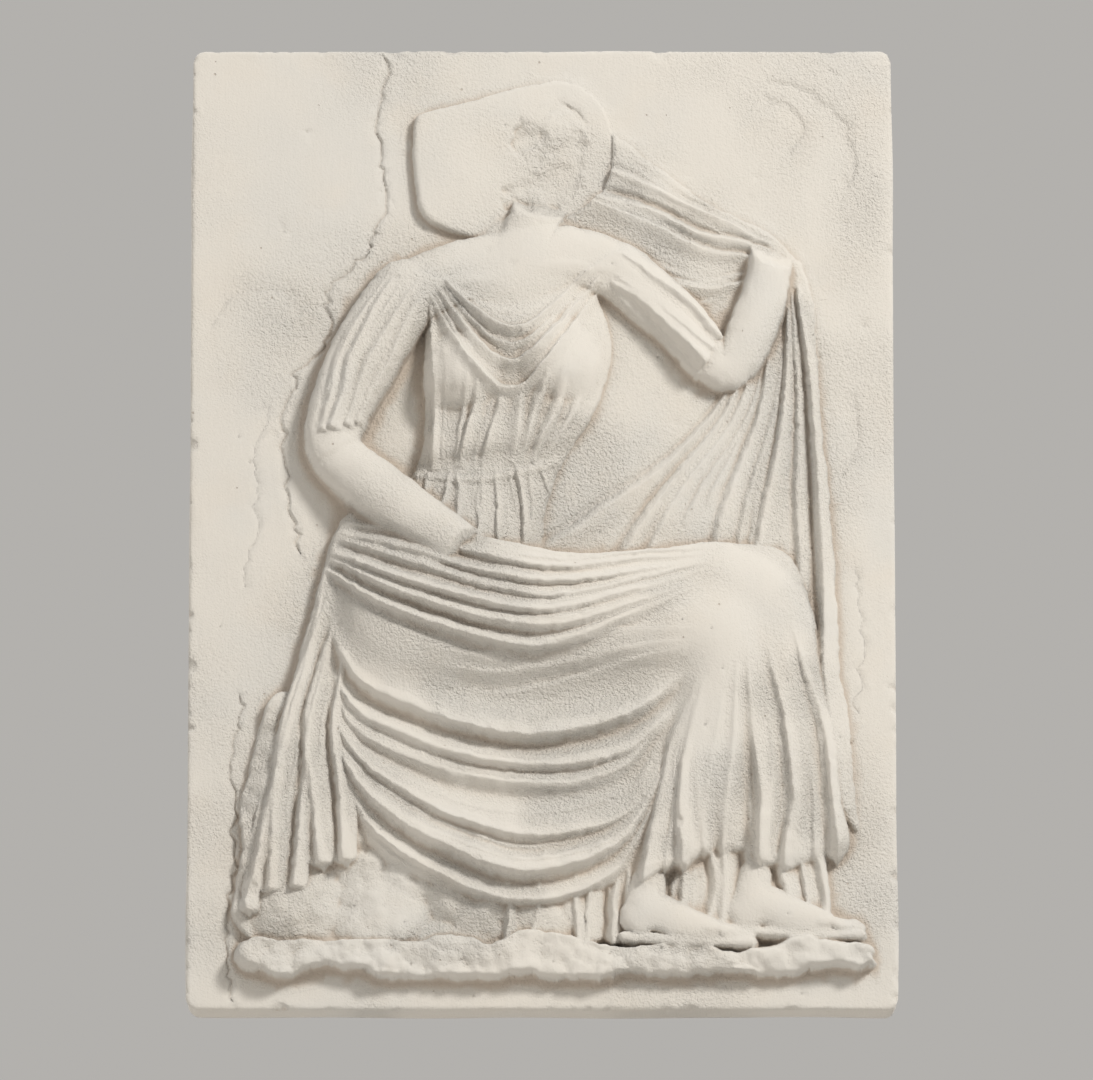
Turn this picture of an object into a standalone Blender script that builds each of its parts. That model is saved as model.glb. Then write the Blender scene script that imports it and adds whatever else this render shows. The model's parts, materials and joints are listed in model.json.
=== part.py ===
"""Plaster relief plaque: an upright slab, cast in one piece with a figure in high relief.

A headless woman in a thin chiton sits on a rock and faces right. Her mantle lies in deep swags over her
lap and falls down the side of the seat. One arm rests on her lap, broken off at the wrist, and the other
one lifts a veil that hangs behind her, its hand lost too. The head is gone, and only a raised patch is left.

The relief is worked out as a height above the slab's face at each point (x, z). Every form and every fold
is a smooth function of the distance to a named line or outline, and a grid is moved out to that height.
Metres, +Z up. The flat back lies in the plane y = 0, with the origin at its centre; the front faces -Y.
"""

import bmesh
import bpy
import numpy as np

NODE = "relief_plaque"

# Slab
WIDTH = 0.333
HEIGHT = 0.460
THICKNESS = 0.032
CORNER = 0.006  # radius of the four corners, seen from the front
EDGE = 0.0024  # radius worn on the front edge
WAVER = 0.0009  # how far the hand-finished sides wander

# Mesh
GRID = 0.0013
TRIANGLES = 9700

# How steeply a form's side drops past its outline
WALL = 7.0

PLASTER = (0.80, 0.775, 0.735, 1.0)


def place(x, z):
    return np.array((x, z))


# The figure's joints, as (x, z) on the face; near is the viewer's side
NECK = place(-0.010, 0.126)
NEAR_SHOULDER, FAR_SHOULDER = place(-0.064, 0.110), place(0.037, 0.120)
NEAR_ELBOW, NEAR_WRIST = place(-0.099, 0.040), place(-0.040, -0.014)
FAR_ELBOW, FAR_WRIST = place(0.086, 0.074), place(0.108, 0.124)
NEAR_BREAST, FAR_BREAST = place(-0.039, 0.067), place(0.009, 0.073)
WAIST = place(-0.028, 0.018)
PELVIS = place(-0.048, -0.034)
NEAR_HIP, NEAR_KNEE, NEAR_ANKLE = place(-0.062, -0.050), place(0.080, -0.056), place(0.050, -0.180)
FAR_HIP, FAR_KNEE, FAR_ANKLE = place(-0.020, -0.026), place(0.104, -0.040), place(0.104, -0.174)


# Shaping functions


def ease(t):
    t = np.clip(t, 0, 1)
    return t * t * (3 - 2 * t)


def merge(a, b, soft):
    """The higher of two surfaces, blended where they meet."""
    t = np.clip(0.5 + 0.5 * (a - b) / soft, 0, 1)
    return b + (a - b) * t + soft * t * (1 - t)


def noise(x, z, size, seed):
    """Smooth random values from -1 to 1, in cells of this size."""
    cells = int(0.6 / size) + 3
    lattice = np.random.default_rng(seed).uniform(-1, 1, (cells, cells))
    across, up = (x + 0.28) / size, (z + 0.28) / size
    i, j = across.astype(int), up.astype(int)
    u, v = ease(across - i), ease(up - j)
    low = lattice[i, j] * (1 - u) + lattice[i + 1, j] * u
    high = lattice[i, j + 1] * (1 - u) + lattice[i + 1, j + 1] * u
    return low * (1 - v) + high * v


def rough(x, z, size, seed):
    """Noise in three sizes, each half the one before."""
    return sum(noise(x, z, size / 2**k, seed + k) / 2**k for k in range(3))


def curve(points, count=36, closed=False):
    """A smooth line through the points."""
    p = np.asarray(points, float)
    if closed:
        p = np.vstack([p[-1], p, p[0], p[1]])
    else:
        p = np.vstack([2 * p[0] - p[1], p, 2 * p[-1] - p[-2]])
    spans = len(p) - 3
    s = np.linspace(0, spans, count, endpoint=not closed)
    i = np.minimum(s.astype(int), spans - 1)
    t = (s - i)[:, None]
    a, b, c, d = p[i], p[i + 1], p[i + 2], p[i + 3]
    return b + 0.5 * t * (c - a + t * (2 * a - 5 * b + 4 * c - d + t * (3 * b - a - 3 * c + d)))


def along(values, t):
    """A size that changes smoothly along a line, from its values at even steps."""
    values = np.atleast_1d(np.asarray(values, float))
    if len(values) > 2:
        values = curve(values[:, None], 48)[:, 0]
    return np.interp(t, np.linspace(0, 1, len(values)), values)


def inside_of(x, z, outline):
    """Distance to a closed outline, positive inside it."""
    nearest = np.full(x.shape, 1e9)
    inside = np.zeros(x.shape, bool)
    for a, b in zip(outline, np.roll(outline, -1, axis=0)):
        ab = b - a
        t = np.clip(((x - a[0]) * ab[0] + (z - a[1]) * ab[1]) / (ab @ ab), 0, 1)
        nearest = np.minimum(nearest, np.hypot(x - a[0] - t * ab[0], z - a[1] - t * ab[1]))
        if ab[1]:
            inside ^= ((a[1] > z) != (b[1] > z)) & (x < ab[0] * (z - a[1]) / ab[1] + a[0])
    return np.where(inside, nearest, -nearest)


def near_line(x, z, line, reach):
    """The points near a line: which they are, their signed distance to it and their share of its length."""
    low, high = line.min(0) - reach, line.max(0) + reach
    near = np.flatnonzero((x > low[0]) & (x < high[0]) & (z > low[1]) & (z < high[1]))
    px, pz = x[near], z[near]
    distance = np.full(near.shape, 1e9)
    side = np.ones(near.shape)
    share = np.zeros(near.shape)
    steps = np.hypot(*np.diff(line, axis=0).T)
    done = np.concatenate([[0], np.cumsum(steps)])
    for k, step in enumerate(steps):
        ab = line[k + 1] - line[k]
        dx, dz = px - line[k, 0], pz - line[k, 1]
        t = np.clip((dx * ab[0] + dz * ab[1]) / (ab @ ab), 0, 1)
        d = np.hypot(dx - t * ab[0], dz - t * ab[1])
        closer = d < distance
        distance[closer] = d[closer]
        side[closer] = np.sign(ab[0] * dz - ab[1] * dx)[closer]
        share[closer] = (done[k] + t * step)[closer] / done[-1]
    return near, distance * side, share


def round_edge(inside, radius):
    """What a rounded edge takes off a layer, from the distance inside its outline."""
    t = np.clip(inside / radius, 0, 1)
    return np.where(inside > 0, radius * (np.sqrt(1 - (1 - t) ** 2) - 1), WALL * inside - radius)


def limb(x, z, line, radius, level, fullness=0.95):
    """A round form along a line. Its radius, its axis's level and its fullness may change on the way."""
    surface = np.full(x.shape, -1.0)
    near, side, t = near_line(x, z, line, np.max(radius) + 0.012)
    r, d = along(radius, t), np.abs(side)
    swell = along(fullness, t) * np.sqrt(np.maximum(r * r - d * d, 0))
    surface[near] = along(level, t) + np.where(d < r, swell, WALL * (r - d))
    return surface


def mound(x, z, centre, half_width, half_height, rise, turn=0.0, power=1.5, sag=1.0):
    """A soft swelling, turned by some degrees. A sag above 1 makes its lower side steeper."""
    c, s = np.cos(np.radians(turn)), np.sin(np.radians(turn))
    u = ((x - centre[0]) * c + (z - centre[1]) * s) / half_width
    v = (-(x - centre[0]) * s + (z - centre[1]) * c) / half_height
    v = np.where(v < 0, v * sag, v)
    return rise * np.clip(1 - u * u - v * v, 0, 1) ** power


def broken(form, x, z, end, toward, level, slope, seed):
    """Cuts a limb short where it broke off, on a rough face that slopes back towards the slab."""
    toward = toward / np.hypot(*toward)
    past = (x - end[0]) * toward[0] + (z - end[1]) * toward[1]
    face = level - slope * past + 0.0012 * rough(x, z, 0.007, seed)
    return np.minimum(form, face)


def facets(x, z, size, seed, rise, reach=1):
    """Broken stone: the upper hull of many tilted bumps, one to a cell and up to reach cells away."""
    cells = int(0.6 / size) + 4
    lattice = np.random.default_rng(seed).uniform(-1, 1, (5, cells, cells))
    across, up = (x + 0.28) / size + 1, (z + 0.28) / size + 1
    i, j = across.astype(int), up.astype(int)
    surface = np.full(x.shape, -1e9)
    for step in np.ndindex(2 * reach + 1, 2 * reach + 1):
        ci, cj = i + step[0] - reach, j + step[1] - reach
        shift_x, shift_z, level, tilt_x, tilt_z = lattice[:, ci, cj]
        u, v = across - ci - 0.5 - 0.4 * shift_x, up - cj - 0.5 - 0.4 * shift_z
        bump = 0.6 * level + 1.1 * (tilt_x * u + tilt_z * v) - 0.9 * (u * u + v * v) - 0.4 * np.hypot(u, v)
        surface = np.maximum(surface, bump)
    return rise * surface


def blur(rows, size):
    """A Gaussian blur of the grid, by a distance in metres."""
    reach = int(np.ceil(3 * size / GRID))
    weights = np.exp(-0.5 * (np.arange(-reach, reach + 1) * GRID / size) ** 2)
    weights /= weights.sum()
    for axis in (0, 1):
        wide = np.pad(rows, [(reach, reach) if a == axis else (0, 0) for a in (0, 1)], mode="edge")
        count = rows.shape[axis]
        rows = sum(w * np.take(wide, range(k, k + count), axis) for k, w in enumerate(weights))
    return rows


class Folds:
    """The folds of one cloth: crests that stand up, scooped out below the steep side of each."""

    def __init__(self, x, z, scoop=0.4):
        self.x, self.z, self.scoop = x, z, scoop
        self.crests = np.zeros(x.shape)
        self.channels = np.zeros(x.shape)

    def fold(self, line, width, height, sharp, lean, fade, channel):
        near, side, t = near_line(self.x, self.z, line, np.max(width) * 1.7)
        w = along(width, t)
        h = along(height, t) * ease(t / fade[0]) * ease((1 - t) / fade[1])
        steep = side * lean < 0
        u = np.abs(side) / (w * np.where(steep, 1 - abs(lean), 1 + abs(lean)))
        u = (np.hypot(u, 0.08) - 0.08) / (np.hypot(1, 0.08) - 0.08)
        crest = h * np.clip(1 - u, 0, 1) ** np.where(steep, sharp + self.scoop, sharp)
        self.crests[near] = np.maximum(self.crests[near], crest)
        c = (side * -np.sign(lean) - (1 - abs(lean)) * 0.8 * w) / (0.0010 + self.scoop * 0.35 * w)
        self.channels[near] = np.maximum(self.channels[near], channel * h * np.clip(1 - c * c, 0, 1))

    def sweep(self, first, last, count, width, height, seed, sharp=1.5, lean=0.25, fade=(0.1, 0.1),
              wander=0.5, channel=0.25, part=(0.0, 0.0)):
        """Folds side by side from the line first to the line last, none quite like the next.

        part says how much of the way, at most, each may miss at its start and its end.
        """
        rng = np.random.default_rng(seed)
        first, last = curve(first), curve(last)
        share = np.linspace(0, 1, len(first))[:, None]
        for k in range(count):
            drift = 0.7 * (share - 0.5) * rng.uniform(-1, 1)
            drift = drift + 0.35 * np.sin(np.pi * share) * rng.uniform(-1, 1)
            t = (k + 0.5 + wander * rng.uniform(-0.7, 0.7) + drift) / count
            size = rng.uniform(0.6, 1.35)
            line = (1 - t) * first + t * last
            ripple = np.sin(2 * np.pi * (rng.uniform(1.2, 2.6) * share + rng.uniform(0, 1)))
            line = line + 0.0007 * ripple * rng.uniform(-1, 1, 2)
            missing = [int(len(line) * most * rng.uniform(0, 1)) if most else 0 for most in part]
            line = line[missing[0]:len(line) - missing[1]]
            self.fold(line, np.multiply(width, 0.5 + 0.5 * size), np.multiply(height, size),
                      sharp, lean, fade, channel)

    def relief(self):
        return self.crests - self.channels


# The figure's parts, from the body out


def torso(x, z):
    spine = curve([(-0.006, 0.118), (-0.013, 0.078), WAIST, PELVIS])
    form = limb(x, z, spine, [0.032, 0.0435, 0.0415, 0.0345, 0.0325, 0.043, 0.050],
                [0.002, 0.003, 0.003, 0.002, 0.002, 0.002, 0.004], [0.42, 0.40, 0.42, 0.44, 0.45, 0.46, 0.46])
    yoke = curve([NEAR_SHOULDER, (-0.038, 0.121), NECK + (0, -0.004), (0.016, 0.127), FAR_SHOULDER])
    form = merge(form, limb(x, z, yoke, [0.0155, 0.0150, 0.0165, 0.0145, 0.0140], 0.006, 0.80), 0.014)
    stump = limb(x, z, curve([NECK + (-0.004, -0.012), (-0.008, 0.135), (0.000, 0.156)]),
                 [0.0165, 0.0122, 0.0122, 0.0130], [-0.006, 0.004, 0.007, 0.006])
    form = broken(merge(form, stump, 0.014), x, z, (-0.004, 0.1445), place(0.25, 1.0), 0.0185, 1.7, 101)
    for breast, rise in ((NEAR_BREAST, 0.0140), (FAR_BREAST, 0.0125)):
        form = form + mound(x, z, breast, 0.0205, 0.0235, rise, turn=8, power=1.2, sag=1.5)
    for collar_bone, turn in (((-0.037, 0.1150), 4), ((0.014, 0.1200), -4)):
        form = form + mound(x, z, collar_bone, 0.021, 0.0040, 0.0013, turn=turn, power=1.0)
    return form + mound(x, z, WAIST + (-0.004, -0.024), 0.030, 0.030, 0.0035)


def legs(x, z):
    far = limb(x, z, curve([FAR_HIP, (0.045, -0.024), FAR_KNEE, (0.110, -0.095), FAR_ANKLE], 48),
               [0.030, 0.027, 0.0215, 0.0190, 0.0180, 0.0165, 0.0105],
               [0.002, 0.003, 0.004, 0.005, 0.004, 0.003, 0.003])
    near = limb(x, z, curve([NEAR_HIP, (0.010, -0.045), NEAR_KNEE, (0.078, -0.110), NEAR_ANKLE], 48),
                [0.0350, 0.0340, 0.0285, 0.0245, 0.0205, 0.0185, 0.0110],
                [0.000, 0.001, 0.005, 0.008, 0.008, 0.007, 0.006])
    return merge(far, near, 0.006)


def near_arm(x, z):
    """It hangs from the shoulder and lies forward over the lap."""
    line = curve([NEAR_SHOULDER, (-0.084, 0.080), NEAR_ELBOW, (-0.079, 0.016), NEAR_WRIST + (0.014, -0.010)])
    form = limb(x, z, line, [0.0168, 0.0166, 0.0146, 0.0126, 0.0138, 0.0118, 0.0092],
                [0.004, 0.007, 0.009, 0.012, 0.019, 0.027, 0.032])
    toward = NEAR_WRIST - NEAR_ELBOW
    return broken(form, x, z, NEAR_WRIST, toward, 0.0400, 2.6, 105)


def far_arm(x, z):
    """It reaches out and up, to hold the veil."""
    line = curve([FAR_SHOULDER, (0.063, 0.099), FAR_ELBOW, (0.101, 0.098), FAR_WRIST + (0.003, 0.012)])
    form = limb(x, z, line, [0.0142, 0.0136, 0.0120, 0.0106, 0.0114, 0.0102, 0.0080],
                [0.004, 0.006, 0.008, 0.010, 0.011, 0.012, 0.013])
    toward = FAR_WRIST - FAR_ELBOW
    return broken(form, x, z, FAR_WRIST + (0, -0.002), toward, 0.0195, 1.8, 103)


def sleeve(x, z, arm, outline, first, last, seed):
    folds = Folds(x, z)
    folds.sweep(first, last, 4, [0.002, 0.0052, 0.006], [0.001, 0.0036, 0.0046], seed, fade=(0.1, 0.01))
    inside = inside_of(x, z, curve(outline, 50, closed=True)) + 0.5 * folds.crests - 0.001
    return arm + 0.0012 + folds.relief() + round_edge(inside, 0.002)


def near_sleeve(x, z, arm):
    outline = [(-0.052, 0.124), (-0.078, 0.124), (-0.102, 0.086), (-0.116, 0.042), (-0.110, 0.026),
               (-0.092, 0.034), (-0.077, 0.046), (-0.062, 0.080), (-0.050, 0.104)]
    first = [(-0.074, 0.118), (-0.098, 0.084), (-0.110, 0.040)]
    last = [(-0.052, 0.112), (-0.068, 0.080), (-0.084, 0.046)]
    return sleeve(x, z, arm, outline, first, last, 21)


def far_sleeve(x, z, arm):
    outline = [(0.024, 0.132), (0.044, 0.136), (0.066, 0.116), (0.083, 0.096), (0.080, 0.080),
               (0.068, 0.060), (0.058, 0.070), (0.040, 0.096)]
    first = [(0.034, 0.130), (0.060, 0.112), (0.086, 0.088)]
    last = [(0.030, 0.104), (0.050, 0.086), (0.070, 0.064)]
    return sleeve(x, z, arm, outline, first, last, 22)


def chiton(x, z, skin):
    """The thin dress, gathered at the neck and under a girdle."""
    near_side = [(-0.060, 0.120), (-0.066, 0.072), (-0.062, 0.024)]
    near_middle = [(-0.038, 0.108), (-0.014, 0.076), (-0.028, 0.026)]
    far_side = [(0.034, 0.126), (0.039, 0.080), (0.014, 0.028)]
    far_middle = [(0.012, 0.108), (-0.012, 0.076), (-0.022, 0.026)]
    folds = Folds(x, z, 0.8)
    for side, middle, lean, seed in ((near_side, near_middle, 0.2, 11), (far_side, far_middle, -0.2, 12)):
        folds.sweep(side, middle, 5, [0.0018, 0.0044, 0.0040], [0.0016, 0.0052, 0.0052], seed,
                    1.6, lean, (0.15, 0.01), 0.6, 0.35, part=(0.15, 0.0))
    near_gather, far_gather = [(-0.062, 0.024), (-0.076, -0.020)], [(0.010, 0.030), (0.024, -0.022)]
    folds.sweep(near_gather, far_gather, 10, [0.0022, 0.0042], [0.0026, 0.0046], 13, 1.4, 0.25, (0.03, 0.3))
    clinging = sum(mound(x, z, breast + (0.001, 0.005), 0.0215, 0.0230, 0.92, power=1.1)
                   for breast in (NEAR_BREAST, FAR_BREAST))
    # Folds that swing from shoulder to shoulder, under the neckline
    lowest = [(-0.056, 0.110), (-0.016, 0.054), (0.032, 0.112)]
    swags = Folds(x, z, 1.0)
    swags.sweep([(-0.048, 0.118), (-0.013, 0.094), (0.024, 0.122)], lowest, 6, [0.0020, 0.0044, 0.0020],
                [0.0018, 0.0060, 0.0020], 14, 1.6, -0.3, (0.05, 0.05), 0.4)
    between = ease(inside_of(x, z, curve(lowest)) / 0.004)
    girdle_line = curve([(-0.072, 0.026), (-0.028, 0.020), (0.018, 0.032)])
    girdle = np.clip(limb(x, z, girdle_line, 0.002, 0.0, 0.8), 0, 1)
    pinch = np.exp(-(((z - 0.027 - 0.10 * (x + 0.028)) / 0.0045) ** 2))
    blouse = mound(x, z, (-0.027, 0.038), 0.046, 0.011, 0.0034, turn=6, power=1.0, sag=1.6)
    neckline = curve([(-0.066, 0.122), (-0.044, 0.114), (-0.013, 0.101), (0.018, 0.116), (0.040, 0.132)])
    below = [(0.090, 0.100), (0.090, -0.080), (-0.130, -0.080), (-0.130, 0.100)]
    inside = inside_of(x, z, np.vstack([neckline, below])) + 0.3 * swags.crests
    relief = np.maximum(folds.relief() * (1 - clinging) * (1 - between), swags.relief()) * (1 - 0.6 * pinch)
    waist = girdle - 0.0012 * pinch * (skin > 0.002)
    return skin + 0.0014 + relief + blouse + waist + round_edge(inside, 0.0016)


def mantle(x, z, body, shape):
    """The heavy cloth over the lap: a roll round the waist, deep swags below it and folds down the shins."""
    outline = [(-0.092, 0.006), (-0.050, -0.004), (0.000, -0.016), (0.045, -0.016), (0.090, -0.010),
               (0.118, -0.018), (0.133, -0.070), (0.139, -0.130), (0.142, -0.156), (0.114, -0.164),
               (0.084, -0.156), (0.050, -0.168), (0.000, -0.184), (-0.050, -0.176), (-0.086, -0.150),
               (-0.102, -0.100), (-0.107, -0.040)]
    inside = inside_of(x, z, curve(outline, 100, closed=True))
    hanging = merge(body, 0.011 + round_edge(inside, 0.009), 0.006)
    spanning = blur(np.maximum(hanging, 0).reshape(shape), 0.008).ravel()
    base = merge(hanging, spanning, 0.004) + 0.001
    base = base + mound(x, z, (-0.03, -0.018), 0.085, 0.016, 0.0035, turn=-8)
    base = base - mound(x, z, NEAR_WRIST + (0.002, -0.002), 0.026, 0.017, 0.0075, turn=-40)
    folds = Folds(x, z, 1.0)
    # Deep swags from the seat to the knee, wide apart
    under_seat = [(-0.103, -0.046), (-0.078, -0.078), (-0.010, -0.096), (0.042, -0.090), (0.070, -0.072)]
    over_hem = [(-0.099, -0.112), (-0.078, -0.152), (-0.020, -0.182), (0.030, -0.172), (0.056, -0.124)]
    folds.sweep(under_seat, over_hem, 6, [0.005, 0.0098, 0.0132, 0.0104, 0.005],
                [0.003, 0.0076, 0.0098, 0.0082, 0.003], 1, 1.8, 0.35, wander=0.8, channel=0.22)
    # Pulls that run from the knee back over the thigh
    folds.sweep([(0.076, -0.052), (0.030, -0.050), (-0.030, -0.062), (-0.070, -0.056)],
                [(0.072, -0.066), (0.036, -0.076), (-0.020, -0.086), (-0.070, -0.074)],
                3, [0.002, 0.0050, 0.0060, 0.004], [0.0006, 0.0024, 0.0026, 0.001], 2, 1.6, 0.3, (0.1, 0.4))
    # Folds down the shins, which shape the hem
    near_shin = [(0.066, -0.078), (0.048, -0.125), (0.038, -0.178)]
    far_shin = [(0.120, -0.040), (0.136, -0.100), (0.141, -0.168)]
    folds.sweep(near_shin, far_shin, 6, [0.003, 0.0076, 0.0105], [0.001, 0.0044, 0.0082], 3, 1.8, 0.30,
                (0.25, 0.01), channel=0.30)
    # The roll round the waist
    roll_top = [(-0.097, 0.003), (-0.052, -0.007), (0.000, -0.019), (0.050, -0.016), (0.104, -0.013)]
    roll_foot = [(-0.106, -0.026), (-0.074, -0.048), (-0.010, -0.068), (0.043, -0.052), (0.092, -0.022)]
    folds.sweep(roll_top, roll_foot, 6, [0.004, 0.0066, 0.0084, 0.0066, 0.003],
                [0.004, 0.0075, 0.0080, 0.0060, 0.002], 4, 1.6, 0.30, (0.04, 0.35), 0.5, 0.28)
    hem = 0.0006 * np.clip(1 - np.abs(inside - 0.003) / 0.0012, 0, 1)
    return base + folds.relief() + hem + round_edge(inside + 0.4 * folds.crests - 0.001, 0.0022)


def veil(x, z):
    """It hangs from the lifted hand, behind the head on one side and down to the knees on the other."""
    outline = [(0.112, 0.138), (0.127, 0.116), (0.131, 0.060), (0.135, 0.000), (0.139, -0.050),
               (0.145, -0.110), (0.149, -0.146), (0.139, -0.142), (0.120, -0.150),
               (0.040, -0.070), (-0.030, -0.040), (-0.010, 0.080), (-0.010, 0.140), (-0.005, 0.180),
               (0.028, 0.192), (0.070, 0.163)]
    folds = Folds(x, z)
    top = [(0.111, 0.134), (0.072, 0.156), (0.006, 0.190)]
    shoulder = [(0.108, 0.120), (0.070, 0.106), (0.020, 0.118)]
    folds.sweep(top, shoulder, 5, [0.002, 0.0065, 0.0085], [0.0025, 0.0050, 0.0045],
                31, 1.8, 0.3, (0.02, 0.01), 0.4)
    back = [(0.102, 0.100), (0.076, 0.050), (0.032, 0.014), (-0.020, -0.020)]
    front = [(0.122, 0.118), (0.130, 0.060), (0.136, -0.010), (0.150, -0.150)]
    folds.sweep(back, front, 7, [0.002, 0.0060, 0.0085, 0.0095], [0.003, 0.0056, 0.0056, 0.0045],
                32, 1.8, 0.3, (0.02, 0.01), channel=0.3)
    inside = inside_of(x, z, curve(outline, 80, closed=True)) + 0.5 * folds.crests - 0.001
    return 0.0036 + folds.relief() + round_edge(inside, 0.003)


def cascade(x, z):
    """The mantle's loose end: folds that hang down the side of the seat, each to a tip of the zigzag hem."""
    count, top, foot = 5, place(-0.103, -0.028), place(-0.138, -0.186)
    folds = Folds(x, z)
    hem = []
    for k in range(count):
        tip = foot + (0.0112 * k, 0.0058 * k + 0.004 * (k % 2))
        knee = (top + tip) / 2 + (0.0035 * (-1) ** k - 0.002, 0.006)
        start = top + (0.0035 * k, 0.0)
        folds.fold(curve([start, knee, tip]), [0.002, 0.0052, 0.0078], [0.002, 0.0056, 0.0066],
                   1.1, 0.45, (0.1, 0.01), 0.30)
        folds.fold(curve([start, knee + (0.0046, -0.010), tip + (0.0062, 0.002)]),
                   [0.001, 0.0024, 0.0034], [0.001, 0.0022, 0.0030], 1.1, 0.45, (0.5, 0.01), 0.30)
        hem += [tip + (-0.0048, 0.0012), tip + (0.0022, -0.0025), tip + (0.0064, 0.0034)]
    sides = [(-0.086, -0.100), (-0.086, -0.026), (-0.104, -0.020), (-0.120, -0.085), (-0.134, -0.140)]
    inside = inside_of(x, z, np.vstack([hem, sides])) + 0.3 * folds.crests - 0.001
    return 0.0112 + folds.relief() + round_edge(inside, 0.0025)


def pleats(x, z):
    """The chiton's hem, which shows under the mantle's."""
    outline = [(-0.022, -0.150), (0.132, -0.145), (0.134, -0.195), (0.050, -0.199), (-0.026, -0.200)]
    folds = Folds(x, z)
    near_hem, far_hem = [(-0.016, -0.160), (-0.022, -0.202)], [(0.126, -0.150), (0.132, -0.200)]
    folds.sweep(near_hem, far_hem, 16, 0.0058, 0.0055, 41, 1.3, 0.3, (0.02, 0.01), 0.7)
    inside = inside_of(x, z, np.array(outline)) + 0.5 * folds.crests - 0.001
    return 0.0060 + folds.relief() + round_edge(inside, 0.002)


def foot(x, z, heel, level):
    """A foot from its outer side, on a thin sole; the little toe is the nearest."""
    ankle = limb(x, z, curve([heel + (0.004, 0.014), heel + (0.002, 0.002), heel + (0.000, -0.003)], 12),
                 [0.0080, 0.0088, 0.0092], level, 0.9)
    instep = limb(x, z, curve([heel + (0.004, 0.001), heel + (0.018, -0.0045), heel + (0.034, -0.0085)], 20),
                  [0.0098, 0.0086, 0.0062], level, 0.9)
    form = merge(ankle, instep, 0.003)
    for k in range(4):
        root = heel + (0.0335 + 0.0034 * k, -0.0084 - 0.0004 * k)
        toe = curve([root, root + (0.0045, 0.0004), root + (0.0082, -0.0016)], 8)
        toe = limb(x, z, toe, [0.0028, 0.0024, 0.0022], level + 0.0042 - 0.0014 * k, 1.0)
        form = merge(form, toe, 0.0005)
    sole = curve([heel + (-0.007, -0.0125), heel + (0.019, -0.0138), heel + (0.052, -0.0142)], 12)
    return merge(form, limb(x, z, sole, 0.0022, level + 0.003, 0.8), 0.0006)


def rock(x, z):
    outline = [(-0.132, -0.092), (-0.116, -0.078), (-0.096, -0.080), (-0.020, -0.120), (0.020, -0.205),
               (-0.060, -0.206), (-0.134, -0.206), (-0.140, -0.150)]
    wavy_x, wavy_z = x + 0.0035 * noise(x, z, 0.016, 61), z + 0.0035 * noise(x, z, 0.016, 62)
    inside = inside_of(wavy_x, wavy_z, curve(outline, 60, closed=True))
    stone = 0.0085 + facets(x, z, 0.021, 51, 0.0060, 2) + facets(x, z, 0.009, 52, 0.0016)
    return stone + round_edge(inside, 0.003)


def ledge(x, z):
    """The rough strip of ground under the feet."""
    outline = [(-0.130, -0.199), (-0.060, -0.200), (0.000, -0.198), (0.075, -0.2020), (0.142, -0.198),
               (0.153, -0.204), (0.138, -0.212), (0.000, -0.215), (-0.070, -0.213), (-0.136, -0.212)]
    wavy_z = z + 0.0035 * noise(x, z, 0.016, 62) + 0.001 * rough(x, z, 0.012, 65)
    inside = inside_of(x, wavy_z, curve(outline, 60, closed=True))
    return 0.0164 + facets(x, z, 0.011, 71, 0.0036, 2) + round_edge(inside, 0.0018)


def over_head(surface, x, z):
    """Lays in the raised patch that the lost head left, with the torn place in its middle."""
    outline = [(-0.021, 0.138), (-0.036, 0.139), (-0.051, 0.145), (-0.058, 0.152), (-0.061, 0.170),
               (-0.060, 0.192), (-0.055, 0.199), (-0.034, 0.205), (-0.006, 0.213), (0.014, 0.214),
               (0.030, 0.202), (0.036, 0.180), (0.030, 0.160), (0.012, 0.146)]
    torn = [(-0.014, 0.149), (-0.020, 0.162), (-0.008, 0.172), (-0.016, 0.186), (-0.004, 0.199),
            (0.012, 0.203), (0.023, 0.190), (0.018, 0.176), (0.021, 0.164), (0.007, 0.152)]
    inside = inside_of(x, z, curve(outline, 60, closed=True))
    # It stands clear of the ground on its outer side and fades out behind the veil
    patch = 0.0040 - 0.075 * (x + 0.010) + 0.0010 * noise(x, z, 0.030, 84) + round_edge(inside, 0.0030)
    wavy_x, wavy_z = x + 0.0022 * rough(x, z, 0.009, 81), z + 0.0022 * rough(x, z, 0.009, 82)
    scar = ease(inside_of(wavy_x, wavy_z, curve(torn, 40, closed=True)) / 0.0015)
    depth = 2.6 * rough(0.6 * x + 0.4 * z, 0.9 * z - 0.35 * x, 0.010, 83)
    patch = patch + scar * (0.0008 * np.round(depth) - 0.0012)
    return np.where(inside > 0.0015, np.maximum(patch, 0.0008), merge(surface, patch, 0.0008))


def relief(x, z, shape):
    """Height above the slab's face at each point of the grid."""
    still_x, still_z = x, z
    x = still_x + 0.0014 * noise(still_x, still_z, 0.030, 3)
    z = still_z + 0.0014 * noise(still_x, still_z, 0.030, 4)
    surface = merge(0.0004 * rough(x, z, 0.07, 91), veil(x, z), 0.0008)
    surface = over_head(surface, x, z)
    skin = torso(x, z)
    body = merge(skin, legs(x, z), 0.012)
    near, far = near_arm(x, z), far_arm(x, z)
    layers = (rock(x, z), pleats(x, z),
              foot(x, z, FAR_ANKLE + (-0.008, -0.0075), 0.008),
              foot(x, z, NEAR_ANKLE + (-0.005, -0.0052), 0.0115),
              ledge(x, z), far, far_sleeve(x, z, far), skin, chiton(x, z, skin), cascade(x, z),
              mantle(x, z, body, shape), near, near_sleeve(x, z, near))
    for layer in layers:
        surface = merge(surface, layer, 0.0012)
    return surface


# The cast


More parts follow.
